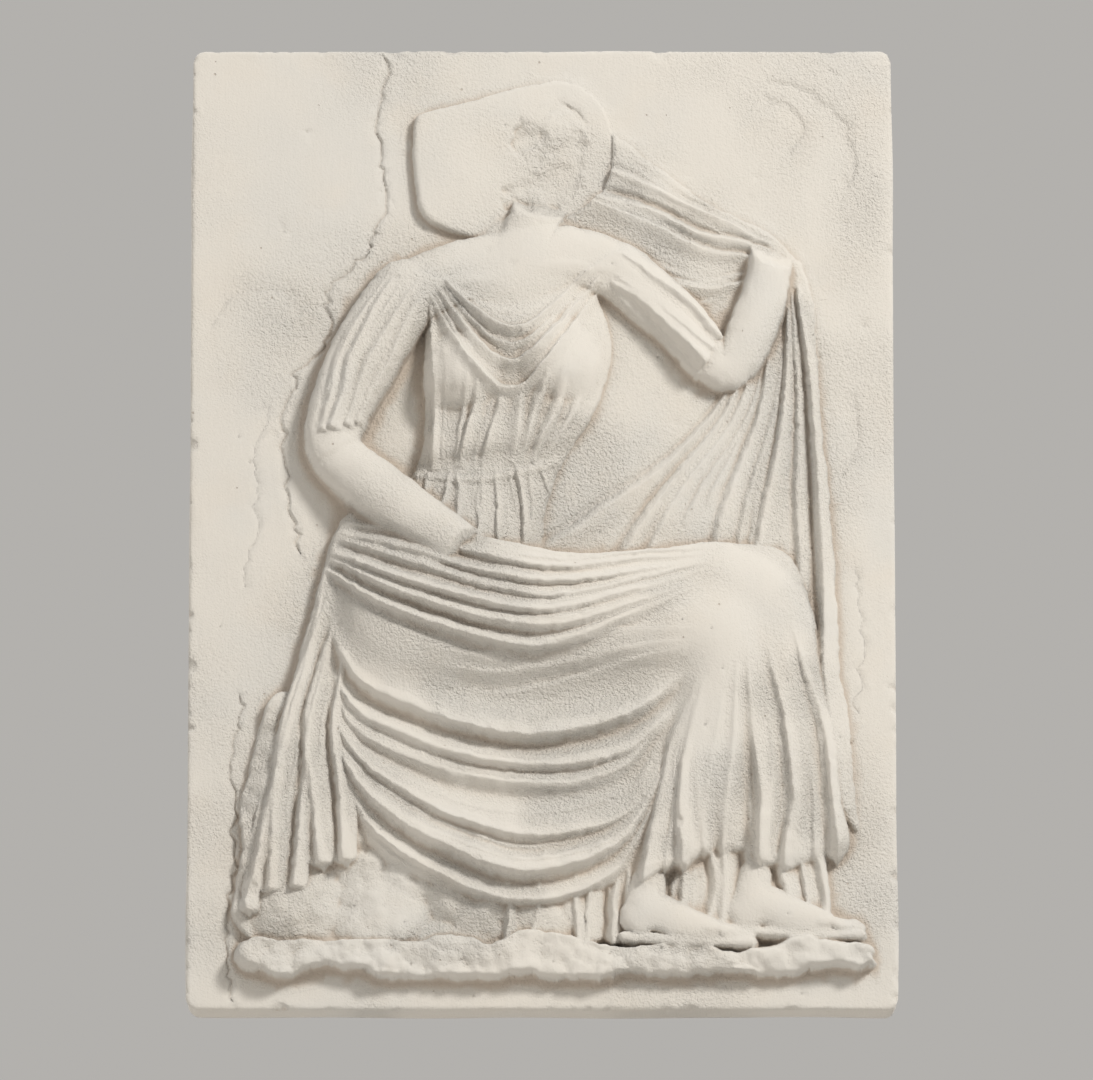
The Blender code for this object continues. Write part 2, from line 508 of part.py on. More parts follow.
def slab_outline(u, v):
    """Spreads the unit square over the slab's face, with its round corners and slightly wavy sides."""
    x = u * (WIDTH + WAVER * noise(0 * u, v * HEIGHT, 0.045, 201))
    z = v * (HEIGHT + WAVER * noise(u * WIDTH, 0 * v, 0.045, 202))
    past_x, past_z = np.abs(x) - WIDTH / 2 + CORNER, np.abs(z) - HEIGHT / 2 + CORNER
    in_corner = (past_x > 0) & (past_z > 0)
    pull = np.maximum(past_x, past_z) / np.maximum(np.hypot(past_x, past_z), 1e-9)
    x = np.where(in_corner, np.sign(x) * (WIDTH / 2 - CORNER + past_x * pull), x)
    z = np.where(in_corner, np.sign(z) * (HEIGHT / 2 - CORNER + past_z * pull), z)
    from_edge = CORNER - np.hypot(np.maximum(past_x, 0), np.maximum(past_z, 0)) * np.where(in_corner, pull, 1)
    from_edge -= np.minimum(np.maximum(past_x, past_z), 0)
    return x, z, np.clip(from_edge, 0, None)


def plaque_mesh():
    columns, rows = round(WIDTH / GRID), round(HEIGHT / GRID)
    form = bmesh.new()
    bmesh.ops.create_grid(form, x_segments=columns, y_segments=rows, size=0.5)
    unit = np.array([vertex.co for vertex in form.verts])
    x, z, from_edge = slab_outline(unit[:, 0], unit[:, 1])
    shape = (rows + 1, columns + 1)
    order = np.lexsort((unit[:, 0].round(6), unit[:, 1].round(6)))
    height = np.empty(len(unit))
    height[order] = relief(x[order], z[order], shape)
    depth = THICKNESS + height + round_edge(from_edge, EDGE)
    for vertex, place_x, place_y, place_z in zip(form.verts, x, -depth, z):
        vertex.co = place_x, place_y, place_z
    rim = [edge for edge in form.edges if edge.is_boundary]
    drawn = bmesh.ops.extrude_edge_only(form, edges=rim)["geom"]
    back = [item for item in drawn if isinstance(item, bmesh.types.BMVert)]
    for vertex in back:
        vertex.co.y = 0.0
    bmesh.ops.contextual_create(form, geom=[edge for edge in form.edges if edge.is_boundary])
    bmesh.ops.recalc_face_normals(form, faces=form.faces)
    bmesh.ops.triangulate(form, faces=form.faces)
    mesh = bpy.data.meshes.new(NODE)
    form.to_mesh(mesh)
    form.free()
    return mesh


def plaster():
    material = bpy.data.materials.new("plaster")
    material.use_nodes = True
    shader = material.node_tree.nodes["Principled BSDF"]
    shader.inputs["Base Color"].default_value = PLASTER
    shader.inputs["Roughness"].default_value = 0.85
    shader.inputs["Metallic"].default_value = 0.0
    return material


def main():
    for item in list(bpy.data.objects):
        bpy.data.objects.remove(item, do_unlink=True)
    mesh = plaque_mesh()
    mesh.materials.append(plaster())
    plaque = bpy.data.objects.new(NODE, mesh)
    bpy.context.scene.collection.objects.link(plaque)
    fewer = plaque.modifiers.new("fewer faces", "DECIMATE")
    fewer.ratio = TRIANGLES / len(mesh.polygons)


if __name__ == "__main__":
    main()
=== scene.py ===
import json

import bmesh
import bpy
import numpy as np
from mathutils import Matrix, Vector

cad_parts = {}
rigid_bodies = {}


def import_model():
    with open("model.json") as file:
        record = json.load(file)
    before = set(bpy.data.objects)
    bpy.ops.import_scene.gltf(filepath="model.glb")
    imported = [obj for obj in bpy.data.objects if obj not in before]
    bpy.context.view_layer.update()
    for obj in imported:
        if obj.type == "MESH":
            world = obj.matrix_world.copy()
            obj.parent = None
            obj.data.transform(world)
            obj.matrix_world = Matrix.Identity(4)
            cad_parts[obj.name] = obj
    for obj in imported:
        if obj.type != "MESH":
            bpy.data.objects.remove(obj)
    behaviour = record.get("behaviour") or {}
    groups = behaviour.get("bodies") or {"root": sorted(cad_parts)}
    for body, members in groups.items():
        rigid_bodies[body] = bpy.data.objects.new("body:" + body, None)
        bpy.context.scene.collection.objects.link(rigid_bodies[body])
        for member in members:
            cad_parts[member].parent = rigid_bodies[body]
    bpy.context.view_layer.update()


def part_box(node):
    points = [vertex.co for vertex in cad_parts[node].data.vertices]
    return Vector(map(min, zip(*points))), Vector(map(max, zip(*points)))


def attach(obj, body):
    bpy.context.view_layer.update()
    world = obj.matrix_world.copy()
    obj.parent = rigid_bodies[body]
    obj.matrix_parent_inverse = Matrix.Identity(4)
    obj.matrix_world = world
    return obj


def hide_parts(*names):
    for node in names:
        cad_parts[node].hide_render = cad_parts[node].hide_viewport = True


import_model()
scene = bpy.context.scene
print("frame loaded")

for item in list(bpy.data.objects):
    if item.type in ("LIGHT", "CAMERA"):
        bpy.data.objects.remove(item, do_unlink=True)

# The slab's back is where the frame has it, and the relief is a height above the slab's face
slab = dict(
    width=0.333,
    height=0.460,
    thickness=0.032,
    backY=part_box("relief_plaque")[1].y,
    corner=0.006,        # radius seen from the front
    edge=0.0022,         # radius worn on the front edge
    backEdge=0.0010,     # what is broken off the back edge
    waver=0.0009,        # how far the hand-finished sides wander
    sideRows=16,         # rows of faces down each side
    sideUneven=0.00035,
    backColumns=110,
    backRows=150,
    backSpan=0.985,      # the struck back's share of the slab's width and height
    backUneven=0.0009,
    backPits=34,
    backSand=0.45,
    grid=0.00058,
    triangles=190000,
    wall=7.0,            # how steeply a form's side drops past its outline
    # The widths over which a recess is judged for its dust and painted shade, with the depth that counts as
    # full
    hollows=((0.005, 0.006), (0.0016, 0.0022)),
)


def place(x, z):
    return np.array((x, z))


# The figure's joints, as (x, z) on the face; near is the viewer's side
figure = dict(
    neck=place(-0.010, 0.126),
    nearShoulder=place(-0.064, 0.110),
    farShoulder=place(0.037, 0.120),
    nearElbow=place(-0.099, 0.040),
    nearWrist=place(-0.040, -0.014),
    farElbow=place(0.086, 0.074),
    farWrist=place(0.108, 0.124),
    nearBreast=place(-0.039, 0.067),
    farBreast=place(0.009, 0.073),
    waist=place(-0.028, 0.018),
    pelvis=place(-0.048, -0.034),
    nearHip=place(-0.062, -0.050),
    nearKnee=place(0.080, -0.056),
    nearAnkle=place(0.050, -0.180),
    farHip=place(-0.020, -0.026),
    farKnee=place(0.104, -0.040),
    farAnkle=place(0.104, -0.174),
)


def clamp(t):
    return np.clip(t, 0, 1)


def ease(t):
    t = clamp(t)
    return t * t * (3 - 2 * t)


# The higher of two surfaces, blended where they meet
def merge(a, b, soft):
    t = clamp(0.5 + 0.5 * (a - b) / soft)
    return b + (a - b) * t + soft * t * (1 - t)


# Random values lie on a square that covers the slab and a little more
field = dict(span=0.6, shift=0.28)


# Smooth random values from -1 to 1, in cells of this size
def noise(x, z, size, seed):
    cells = int(field["span"] / size) + 3
    lattice = np.random.default_rng(seed).uniform(-1, 1, (cells, cells))
    across, up = (x + field["shift"]) / size, (z + field["shift"]) / size
    i, j = across.astype(int), up.astype(int)
    u, v = ease(across - i), ease(up - j)
    lower = lattice[i, j] * (1 - u) + lattice[i + 1, j] * u
    upper = lattice[i, j + 1] * (1 - u) + lattice[i + 1, j + 1] * u
    return lower * (1 - v) + upper * v


def rough(x, z, size, seed):
    return sum(noise(x, z, size / 2**k, seed + k) / 2**k for k in range(3))


# A smooth line through the points
def curve(points, count=36, closed=False):
    p = np.asarray(points, float)
    if closed:
        p = np.vstack([p[-1], p, p[0], p[1]])
    else:
        p = np.vstack([2 * p[0] - p[1], p, 2 * p[-1] - p[-2]])
    spans = len(p) - 3
    s = np.linspace(0, spans, count, endpoint=not closed)
    i = np.minimum(s.astype(int), spans - 1)
    t = (s - i)[:, None]
    a, b, c, d = p[i], p[i + 1], p[i + 2], p[i + 3]
    return b + 0.5 * t * (c - a + t * (2 * a - 5 * b + 4 * c - d + t * (3 * b - a - 3 * c + d)))


# A size that changes smoothly along a line, from its values at even steps
def along(values, t):
    values = np.atleast_1d(np.asarray(values, float))
    if len(values) > 2:
        values = curve(values[:, None], 48)[:, 0]
    return np.interp(t, np.linspace(0, 1, len(values)), values)


# Distance to a closed outline, positive inside it
def insideOf(x, z, outline):
    nearest = np.full(x.shape, 1e9)
    inside = np.zeros(x.shape, bool)
    for a, b in zip(outline, np.roll(outline, -1, axis=0)):
        ab = b - a
        t = clamp(((x - a[0]) * ab[0] + (z - a[1]) * ab[1]) / (ab @ ab))
        nearest = np.minimum(nearest, np.hypot(x - a[0] - t * ab[0], z - a[1] - t * ab[1]))
        if ab[1]:
            inside ^= ((a[1] > z) != (b[1] > z)) & (x < ab[0] * (z - a[1]) / ab[1] + a[0])
    return np.where(inside, nearest, -nearest)


# The points near a line: which they are, their signed distance to it and their share of its length
def nearLine(x, z, line, reach):
    lowest, highest = line.min(0) - reach, line.max(0) + reach
    near = np.flatnonzero((x > lowest[0]) & (x < highest[0]) & (z > lowest[1]) & (z < highest[1]))
    px, pz = x[near], z[near]
    distance = np.full(near.shape, 1e9)
    side = np.ones(near.shape)
    share = np.zeros(near.shape)
    steps = np.hypot(*np.diff(line, axis=0).T)
    done = np.concatenate([[0], np.cumsum(steps)])
    for k, step in enumerate(steps):
        ab = line[k + 1] - line[k]
        dx, dz = px - line[k, 0], pz - line[k, 1]
        t = clamp((dx * ab[0] + dz * ab[1]) / (ab @ ab))
        d = np.hypot(dx - t * ab[0], dz - t * ab[1])
        closer = d < distance
        distance[closer] = d[closer]
        side[closer] = np.sign(ab[0] * dz - ab[1] * dx)[closer]
        share[closer] = (done[k] + t * step)[closer] / done[-1]
    return near, distance * side, share


# The points in a small square round a spot
def nearSpot(x, z, centre, reach):
    return np.flatnonzero((np.abs(x - centre[0]) < reach) & (np.abs(z - centre[1]) < reach))


# What a rounded edge takes off a layer, from the distance inside its outline
def roundEdge(inside, radius):
    t = clamp(inside / radius)
    return np.where(inside > 0, radius * (np.sqrt(1 - (1 - t) ** 2) - 1), slab["wall"] * inside - radius)


# A round form along a line; its radius, its axis's level and its fullness may change on the way
def limb(x, z, line, radius, level, fullness=0.95):
    surface = np.full(x.shape, -1.0)
    near, side, t = nearLine(x, z, line, np.max(radius) + 0.012)
    r, d = along(radius, t), np.abs(side)
    swell = along(fullness, t) * np.sqrt(np.maximum(r * r - d * d, 0))
    surface[near] = along(level, t) + np.where(d < r, swell, slab["wall"] * (r - d))
    return surface


# A soft swelling, turned by some degrees; a sag above 1 makes its lower side steeper
def mound(x, z, centre, halfWidth, halfHeight, rise, turn=0.0, power=1.5, sag=1.0):
    c, s = np.cos(np.radians(turn)), np.sin(np.radians(turn))
    u = ((x - centre[0]) * c + (z - centre[1]) * s) / halfWidth
    v = (-(x - centre[0]) * s + (z - centre[1]) * c) / halfHeight
    v = np.where(v < 0, v * sag, v)
    return rise * clamp(1 - u * u - v * v) ** power


# Cuts a limb short where it broke off, on a rough face that slopes back towards the slab
def broken(form, x, z, end, toward, level, slope, seed):
    toward = toward / np.hypot(*toward)
    past = (x - end[0]) * toward[0] + (z - end[1]) * toward[1]
    face = level - slope * past + 0.0012 * rough(x, z, 0.007, seed) + facets(x, z, 0.0042, seed, 0.0013)
    return np.minimum(form, face)


# Broken stone: the upper hull of many tilted bumps, one to a cell and up to reach cells away
def facets(x, z, size, seed, rise, reach=1):
    cells = int(field["span"] / size) + 4
    lattice = np.random.default_rng(seed).uniform(-1, 1, (5, cells, cells))
    across, up = (x + field["shift"]) / size + 1, (z + field["shift"]) / size + 1
    i, j = across.astype(int), up.astype(int)
    surface = np.full(x.shape, -1e9)
    for step in np.ndindex(2 * reach + 1, 2 * reach + 1):
        ci, cj = i + step[0] - reach, j + step[1] - reach
        shiftX, shiftZ, level, tiltX, tiltZ = lattice[:, ci, cj]
        u, v = across - ci - 0.5 - 0.4 * shiftX, up - cj - 0.5 - 0.4 * shiftZ
        bump = 0.6 * level + 1.1 * (tiltX * u + tiltZ * v) - 0.9 * (u * u + v * v) - 0.4 * np.hypot(u, v)
        surface = np.maximum(surface, bump)
    return rise * surface


# A Gaussian blur of the grid, by a distance in metres
def blur(rows, size):
    reach = int(np.ceil(3 * size / slab["grid"]))
    weights = np.exp(-0.5 * (np.arange(-reach, reach + 1) * slab["grid"] / size) ** 2)
    weights /= weights.sum()
    for axis in (0, 1):
        wide = np.pad(rows, [(reach, reach) if a == axis else (0, 0) for a in (0, 1)], mode="edge")
        count = rows.shape[axis]
        rows = sum(w * np.take(wide, range(k, k + count), axis) for k, w in enumerate(weights))
    return rows


crestRadius = 0.08  # how blunt a fold's crest is, as a share of its width


# The folds of one cloth: crests that stand up, scooped out below the steep side of each
class Folds:
    def __init__(self, x, z, scoop=0.4):
        self.x, self.z, self.scoop = x, z, scoop
        self.crests = np.zeros(x.shape)
        self.channels = np.zeros(x.shape)

    def fold(self, line, width, height, sharp, lean, fade, channel):
        near, side, t = nearLine(self.x, self.z, line, np.max(width) * 1.7)
        w = along(width, t)
        h = along(height, t) * ease(t / fade[0]) * ease((1 - t) / fade[1])
        h = h * (1 + 0.12 * noise(self.x[near], self.z[near], 0.006, 6))
        steep = side * lean < 0
        u = np.abs(side) / (w * np.where(steep, 1 - abs(lean), 1 + abs(lean)))
        u = (np.hypot(u, crestRadius) - crestRadius) / (np.hypot(1, crestRadius) - crestRadius)
        crest = h * clamp(1 - u) ** np.where(steep, sharp + self.scoop, sharp)
        self.crests[near] = np.maximum(self.crests[near], crest)
        c = (side * -np.sign(lean) - (1 - abs(lean)) * 0.8 * w) / (0.001 + self.scoop * 0.35 * w)
        self.channels[near] = np.maximum(self.channels[near], channel * h * clamp(1 - c * c))

    # Folds side by side from the line first to the line last, none quite like the next;
    # part says how much of the way, at most, each may miss at its start and its end
    def sweep(self, first, last, count, width, height, seed, sharp=1.8, lean=0.3, fade=(0.1, 0.1),
              wander=0.5, channel=0.25, part=(0.0, 0.0)):
        rng = np.random.default_rng(seed)
        first, last = curve(first), curve(last)
        share = np.linspace(0, 1, len(first))[:, None]
        for k in range(count):
            drift = 0.7 * (share - 0.5) * rng.uniform(-1, 1)
            drift = drift + 0.35 * np.sin(np.pi * share) * rng.uniform(-1, 1)
            t = (k + 0.5 + wander * rng.uniform(-0.7, 0.7) + drift) / count
            size = rng.uniform(0.6, 1.35)
            line = (1 - t) * first + t * last
            ripple = np.sin(2 * np.pi * (rng.uniform(1.2, 2.6) * share + rng.uniform(0, 1)))
            line = line + 0.0007 * ripple * rng.uniform(-1, 1, 2)
            missing = [int(len(line) * most * rng.uniform(0, 1)) if most else 0 for most in part]
            line = line[missing[0]:len(line) - missing[1]]
            self.fold(line, np.multiply(width, 0.5 + 0.5 * size), np.multiply(height, size),
                      sharp, lean, fade, channel)

    # The small folds between the main ones
    def fine(self, *basics, sharp=1.4, lean=0.2, wander=0.9, **settings):
        self.sweep(*basics, sharp=sharp, lean=lean, wander=wander, **settings)

    def relief(self):
        return self.crests - self.channels


def torso(x, z):
    spine = curve([(-0.006, 0.118), (-0.013, 0.078), figure["waist"], figure["pelvis"]])
    form = limb(x, z, spine, [0.032, 0.0435, 0.0415, 0.0345, 0.0325, 0.043, 0.050],
                [0.002, 0.003, 0.003, 0.002, 0.002, 0.002, 0.004],
                [0.42, 0.40, 0.42, 0.44, 0.45, 0.46, 0.46])
    yoke = curve([figure["nearShoulder"], (-0.038, 0.121), figure["neck"] + (0, -0.004), (0.016, 0.127),
                  figure["farShoulder"]])
    form = merge(form, limb(x, z, yoke, [0.0155, 0.015, 0.0165, 0.0145, 0.014], 0.006, 0.80), 0.014)
    stump = limb(x, z, curve([figure["neck"] + (-0.004, -0.012), (-0.008, 0.135), (0.000, 0.156)]),
                 [0.0165, 0.0122, 0.0122, 0.013], [-0.006, 0.004, 0.007, 0.006])
    form = broken(merge(form, stump, 0.014), x, z, (-0.004, 0.1445), place(0.25, 1.0), 0.0185, 1.7, 101)
    for breast, rise in ((figure["nearBreast"], 0.014), (figure["farBreast"], 0.0125)):
        form = form + mound(x, z, breast, 0.0205, 0.0235, rise, turn=8, power=1.2, sag=1.5)
    for collarBone, turn in (((-0.037, 0.115), 4), ((0.014, 0.120), -4)):
        form = form + mound(x, z, collarBone, 0.021, 0.004, 0.0013, turn=turn, power=1.0)
    return form + mound(x, z, figure["waist"] + (-0.004, -0.024), 0.030, 0.030, 0.0035)


def legs(x, z):
    far = limb(x, z, curve([figure["farHip"], (0.045, -0.024), figure["farKnee"], (0.110, -0.095),
                            figure["farAnkle"]], 48),
               [0.030, 0.027, 0.0215, 0.019, 0.018, 0.0165, 0.0105],
               [0.002, 0.003, 0.004, 0.005, 0.004, 0.003, 0.003])
    near = limb(x, z, curve([figure["nearHip"], (0.010, -0.045), figure["nearKnee"], (0.078, -0.110),
                             figure["nearAnkle"]], 48),
                [0.035, 0.034, 0.0285, 0.0245, 0.0205, 0.0185, 0.011],
                [0.000, 0.001, 0.005, 0.008, 0.008, 0.007, 0.006])
    return merge(far, near, 0.006)


# It hangs from the shoulder and lies forward over the lap
def nearArm(x, z):
    line = curve([figure["nearShoulder"], (-0.084, 0.080), figure["nearElbow"], (-0.079, 0.016),
                  figure["nearWrist"] + (0.014, -0.010)])
    form = limb(x, z, line, [0.0168, 0.0166, 0.0146, 0.0126, 0.0138, 0.0118, 0.0092],
                [0.004, 0.007, 0.009, 0.012, 0.019, 0.027, 0.032])
    toward = figure["nearWrist"] - figure["nearElbow"]
    return broken(form, x, z, figure["nearWrist"], toward, 0.040, 2.6, 105)


# It reaches out and up, to hold the veil
def farArm(x, z):
    line = curve([figure["farShoulder"], (0.063, 0.099), figure["farElbow"], (0.101, 0.098),
                  figure["farWrist"] + (0.003, 0.012)])
    form = limb(x, z, line, [0.0142, 0.0136, 0.012, 0.0106, 0.0114, 0.0102, 0.008],
                [0.004, 0.006, 0.008, 0.010, 0.011, 0.012, 0.013])
    toward = figure["farWrist"] - figure["farElbow"]
    return broken(form, x, z, figure["farWrist"] + (0, -0.002), toward, 0.0195, 1.8, 103)


# Each sleeve's outline, and the lines from the first of its folds to the last
sleeves = dict(
    near=dict(outline=[(-0.052, 0.124), (-0.078, 0.124), (-0.102, 0.086), (-0.116, 0.042), (-0.110, 0.026),
                       (-0.092, 0.034), (-0.077, 0.046), (-0.062, 0.080), (-0.050, 0.104)],
              first=[(-0.074, 0.118), (-0.098, 0.084), (-0.110, 0.040)],
              last=[(-0.052, 0.112), (-0.068, 0.080), (-0.084, 0.046)], seed=21),
    far=dict(outline=[(0.024, 0.132), (0.044, 0.136), (0.066, 0.116), (0.083, 0.096), (0.080, 0.080),
                      (0.068, 0.060), (0.058, 0.070), (0.040, 0.096)],
             first=[(0.034, 0.130), (0.060, 0.112), (0.086, 0.088)],
             last=[(0.030, 0.104), (0.050, 0.086), (0.070, 0.064)], seed=22),
)


def sleeve(x, z, arm, outline, first, last, seed):
    folds = Folds(x, z)
    folds.sweep(first, last, 4, [0.002, 0.0052, 0.006], [0.001, 0.0036, 0.0046], seed, sharp=1.5,
                lean=0.25, fade=(0.1, 0.01))
    folds.fine(first, last, 6, [0.001, 0.0022, 0.0026], [0.0005, 0.0016, 0.002], seed + 300,
               fade=(0.2, 0.1), wander=0.8, part=(0.4, 0.2))
    inside = insideOf(x, z, curve(outline, 50, closed=True)) + 0.5 * folds.crests - 0.001
    return arm + 0.0012 + folds.relief() + roundEdge(inside, 0.002)


# The thin dress, gathered at the neck and under a girdle
def chiton(x, z, skin):
    nearSide = [(-0.060, 0.120), (-0.066, 0.072), (-0.062, 0.024)]
    nearMiddle = [(-0.038, 0.108), (-0.014, 0.076), (-0.028, 0.026)]
    farSide = [(0.034, 0.126), (0.039, 0.080), (0.014, 0.028)]
    farMiddle = [(0.012, 0.108), (-0.012, 0.076), (-0.022, 0.026)]
    folds = Folds(x, z, 0.8)
    for side, middle, lean, seed in ((nearSide, nearMiddle, 0.2, 11), (farSide, farMiddle, -0.2, 12)):
        folds.sweep(side, middle, 5, [0.0018, 0.0044, 0.004], [0.0016, 0.0052, 0.0052], seed, sharp=1.6,
                    lean=lean, fade=(0.15, 0.01), wander=0.6, channel=0.35, part=(0.15, 0.0))
        folds.fine(side, middle, 6, [0.0014, 0.002, 0.002], [0.0008, 0.0021, 0.0021], seed + 300,
                   lean=lean, fade=(0.2, 0.05), part=(0.5, 0.0))
    nearGather, farGather = [(-0.062, 0.024), (-0.076, -0.020)], [(0.010, 0.030), (0.024, -0.022)]
    folds.sweep(nearGather, farGather, 10, [0.0022, 0.0042], [0.0026, 0.0046], 13, sharp=1.4, lean=0.25,
                fade=(0.03, 0.3))
    folds.fine(nearGather, farGather, 9, [0.0016, 0.0024], [0.0016, 0.002], 313, sharp=1.2,
               fade=(0.03, 0.3), part=(0.0, 0.5))
    clinging = sum(mound(x, z, breast + (0.001, 0.005), 0.0215, 0.023, 0.92, power=1.1)
                   for breast in (figure["nearBreast"], figure["farBreast"]))
    # Folds that swing from shoulder to shoulder, under the neckline
    lowest = [(-0.056, 0.110), (-0.016, 0.054), (0.032, 0.112)]
    swags = Folds(x, z, 1.0)
    swags.sweep([(-0.048, 0.118), (-0.013, 0.094), (0.024, 0.122)], lowest, 6, [0.002, 0.0044, 0.002],
                [0.0018, 0.006, 0.002], 14, sharp=1.6, lean=-0.3, fade=(0.05, 0.05), wander=0.4)
    between = ease(insideOf(x, z, curve(lowest)) / 0.004)
    girdleLine = curve([(-0.072, 0.026), (-0.028, 0.020), (0.018, 0.032)])
    girdle = clamp(limb(x, z, girdleLine, 0.002, 0.0, 0.8))
    pinch = np.exp(-(((z - 0.027 - 0.10 * (x + 0.028)) / 0.0045) ** 2))
    blouse = mound(x, z, (-0.027, 0.038), 0.046, 0.011, 0.0034, turn=6, power=1.0, sag=1.6)
    neckline = curve([(-0.066, 0.122), (-0.044, 0.114), (-0.013, 0.101), (0.018, 0.116), (0.040, 0.132)])
    below = [(0.090, 0.100), (0.090, -0.080), (-0.130, -0.080), (-0.130, 0.100)]
    inside = insideOf(x, z, np.vstack([neckline, below])) + 0.3 * swags.crests
    relief = np.maximum(folds.relief() * (1 - clinging) * (1 - between), swags.relief()) * (1 - 0.6 * pinch)
    waist = girdle - 0.0012 * pinch * (skin > 0.002)
    return skin + 0.0014 + relief + blouse + waist + roundEdge(inside, 0.0016)


# The heavy cloth over the lap: a roll round the waist, deep swags below it and folds down the shins
def mantle(x, z, body, shape):
    outline = [(-0.092, 0.006), (-0.050, -0.004), (0.000, -0.016), (0.045, -0.016), (0.090, -0.010),
               (0.118, -0.018), (0.133, -0.070), (0.139, -0.130), (0.142, -0.156), (0.114, -0.164),
               (0.084, -0.156), (0.050, -0.168), (0.000, -0.184), (-0.050, -0.176), (-0.086, -0.150),
               (-0.102, -0.100), (-0.107, -0.040)]
    inside = insideOf(x, z, curve(outline, 100, closed=True))
    hanging = merge(body, 0.011 + roundEdge(inside, 0.009), 0.006)
    spanning = blur(np.maximum(hanging, 0).reshape(shape), 0.008).ravel()
    base = merge(hanging, spanning, 0.004) + 0.001
    base = base + mound(x, z, (-0.03, -0.018), 0.085, 0.016, 0.0035, turn=-8)
    base = base - mound(x, z, figure["nearWrist"] + (0.002, -0.002), 0.026, 0.017, 0.0075, turn=-40)
    folds = Folds(x, z, 1.0)
    # Deep swags from the seat to the knee, wide apart
    underSeat = [(-0.103, -0.046), (-0.078, -0.078), (-0.010, -0.096), (0.042, -0.090), (0.070, -0.072)]
    overHem = [(-0.099, -0.112), (-0.078, -0.152), (-0.020, -0.182), (0.030, -0.172), (0.056, -0.124)]
    folds.sweep(underSeat, overHem, 6, [0.005, 0.0098, 0.0132, 0.0104, 0.005],
                [0.003, 0.0076, 0.0098, 0.0082, 0.003], 1, lean=0.35, wander=0.8, channel=0.22)
    folds.fine(underSeat, overHem, 7, [0.002, 0.004, 0.0048, 0.004, 0.002],
               [0.001, 0.0028, 0.0034, 0.0028, 0.001], 301, fade=(0.3, 0.3), part=(0.45, 0.45))
    # Pulls that run from the knee back over the thigh
    folds.sweep([(0.076, -0.052), (0.030, -0.050), (-0.030, -0.062), (-0.070, -0.056)],
                [(0.072, -0.066), (0.036, -0.076), (-0.020, -0.086), (-0.070, -0.074)], 3,
                [0.002, 0.005, 0.006, 0.004], [0.0006, 0.0024, 0.0026, 0.001], 2, sharp=1.6,
                fade=(0.1, 0.4))
    # Folds down the shins, which shape the hem
    nearShin = [(0.066, -0.078), (0.048, -0.125), (0.038, -0.178)]
    farShin = [(0.120, -0.040), (0.136, -0.100), (0.141, -0.168)]
    folds.sweep(nearShin, farShin, 6, [0.003, 0.0076, 0.0105], [0.001, 0.0044, 0.0082], 3,
                fade=(0.25, 0.01), channel=0.30)
    folds.fine(nearShin, farShin, 6, [0.002, 0.003, 0.0042], [0.0002, 0.0014, 0.003], 303,
               fade=(0.5, 0.01), part=(0.4, 0.0))
    # The roll round the waist
    rollTop = [(-0.097, 0.003), (-0.052, -0.007), (0.000, -0.019), (0.050, -0.016), (0.104, -0.013)]
    rollFoot = [(-0.106, -0.026), (-0.074, -0.048), (-0.010, -0.068), (0.043, -0.052), (0.092, -0.022)]
    folds.sweep(rollTop, rollFoot, 6, [0.004, 0.0066, 0.0084, 0.0066, 0.003],
                [0.004, 0.0075, 0.008, 0.006, 0.002], 4, sharp=1.6, fade=(0.04, 0.35), channel=0.28)
    folds.fine(rollTop, rollFoot, 7, [0.002, 0.0024, 0.003, 0.0026, 0.002],
               [0.002, 0.0026, 0.003, 0.0026, 0.001], 304, fade=(0.15, 0.35), part=(0.5, 0.5))
    # Small wrinkles run along the folds, over crests and valleys alike
    wrinkles = Folds(x, z)
    for first, last, seed in ((underSeat, overHem, 321), (rollTop, rollFoot, 324),
                              (nearShin, farShin, 323)):
        wrinkles.sweep(first, last, 9, 0.0018, 0.0011, seed, sharp=1.2, fade=(0.3, 0.3), wander=0.9,
                       part=(0.45, 0.45))
    hem = 0.0006 * clamp(1 - np.abs(inside - 0.003) / 0.0012)
    cloth = base + folds.relief() + wrinkles.relief() + hem
    return cloth + roundEdge(inside + 0.4 * folds.crests - 0.001, 0.0022)


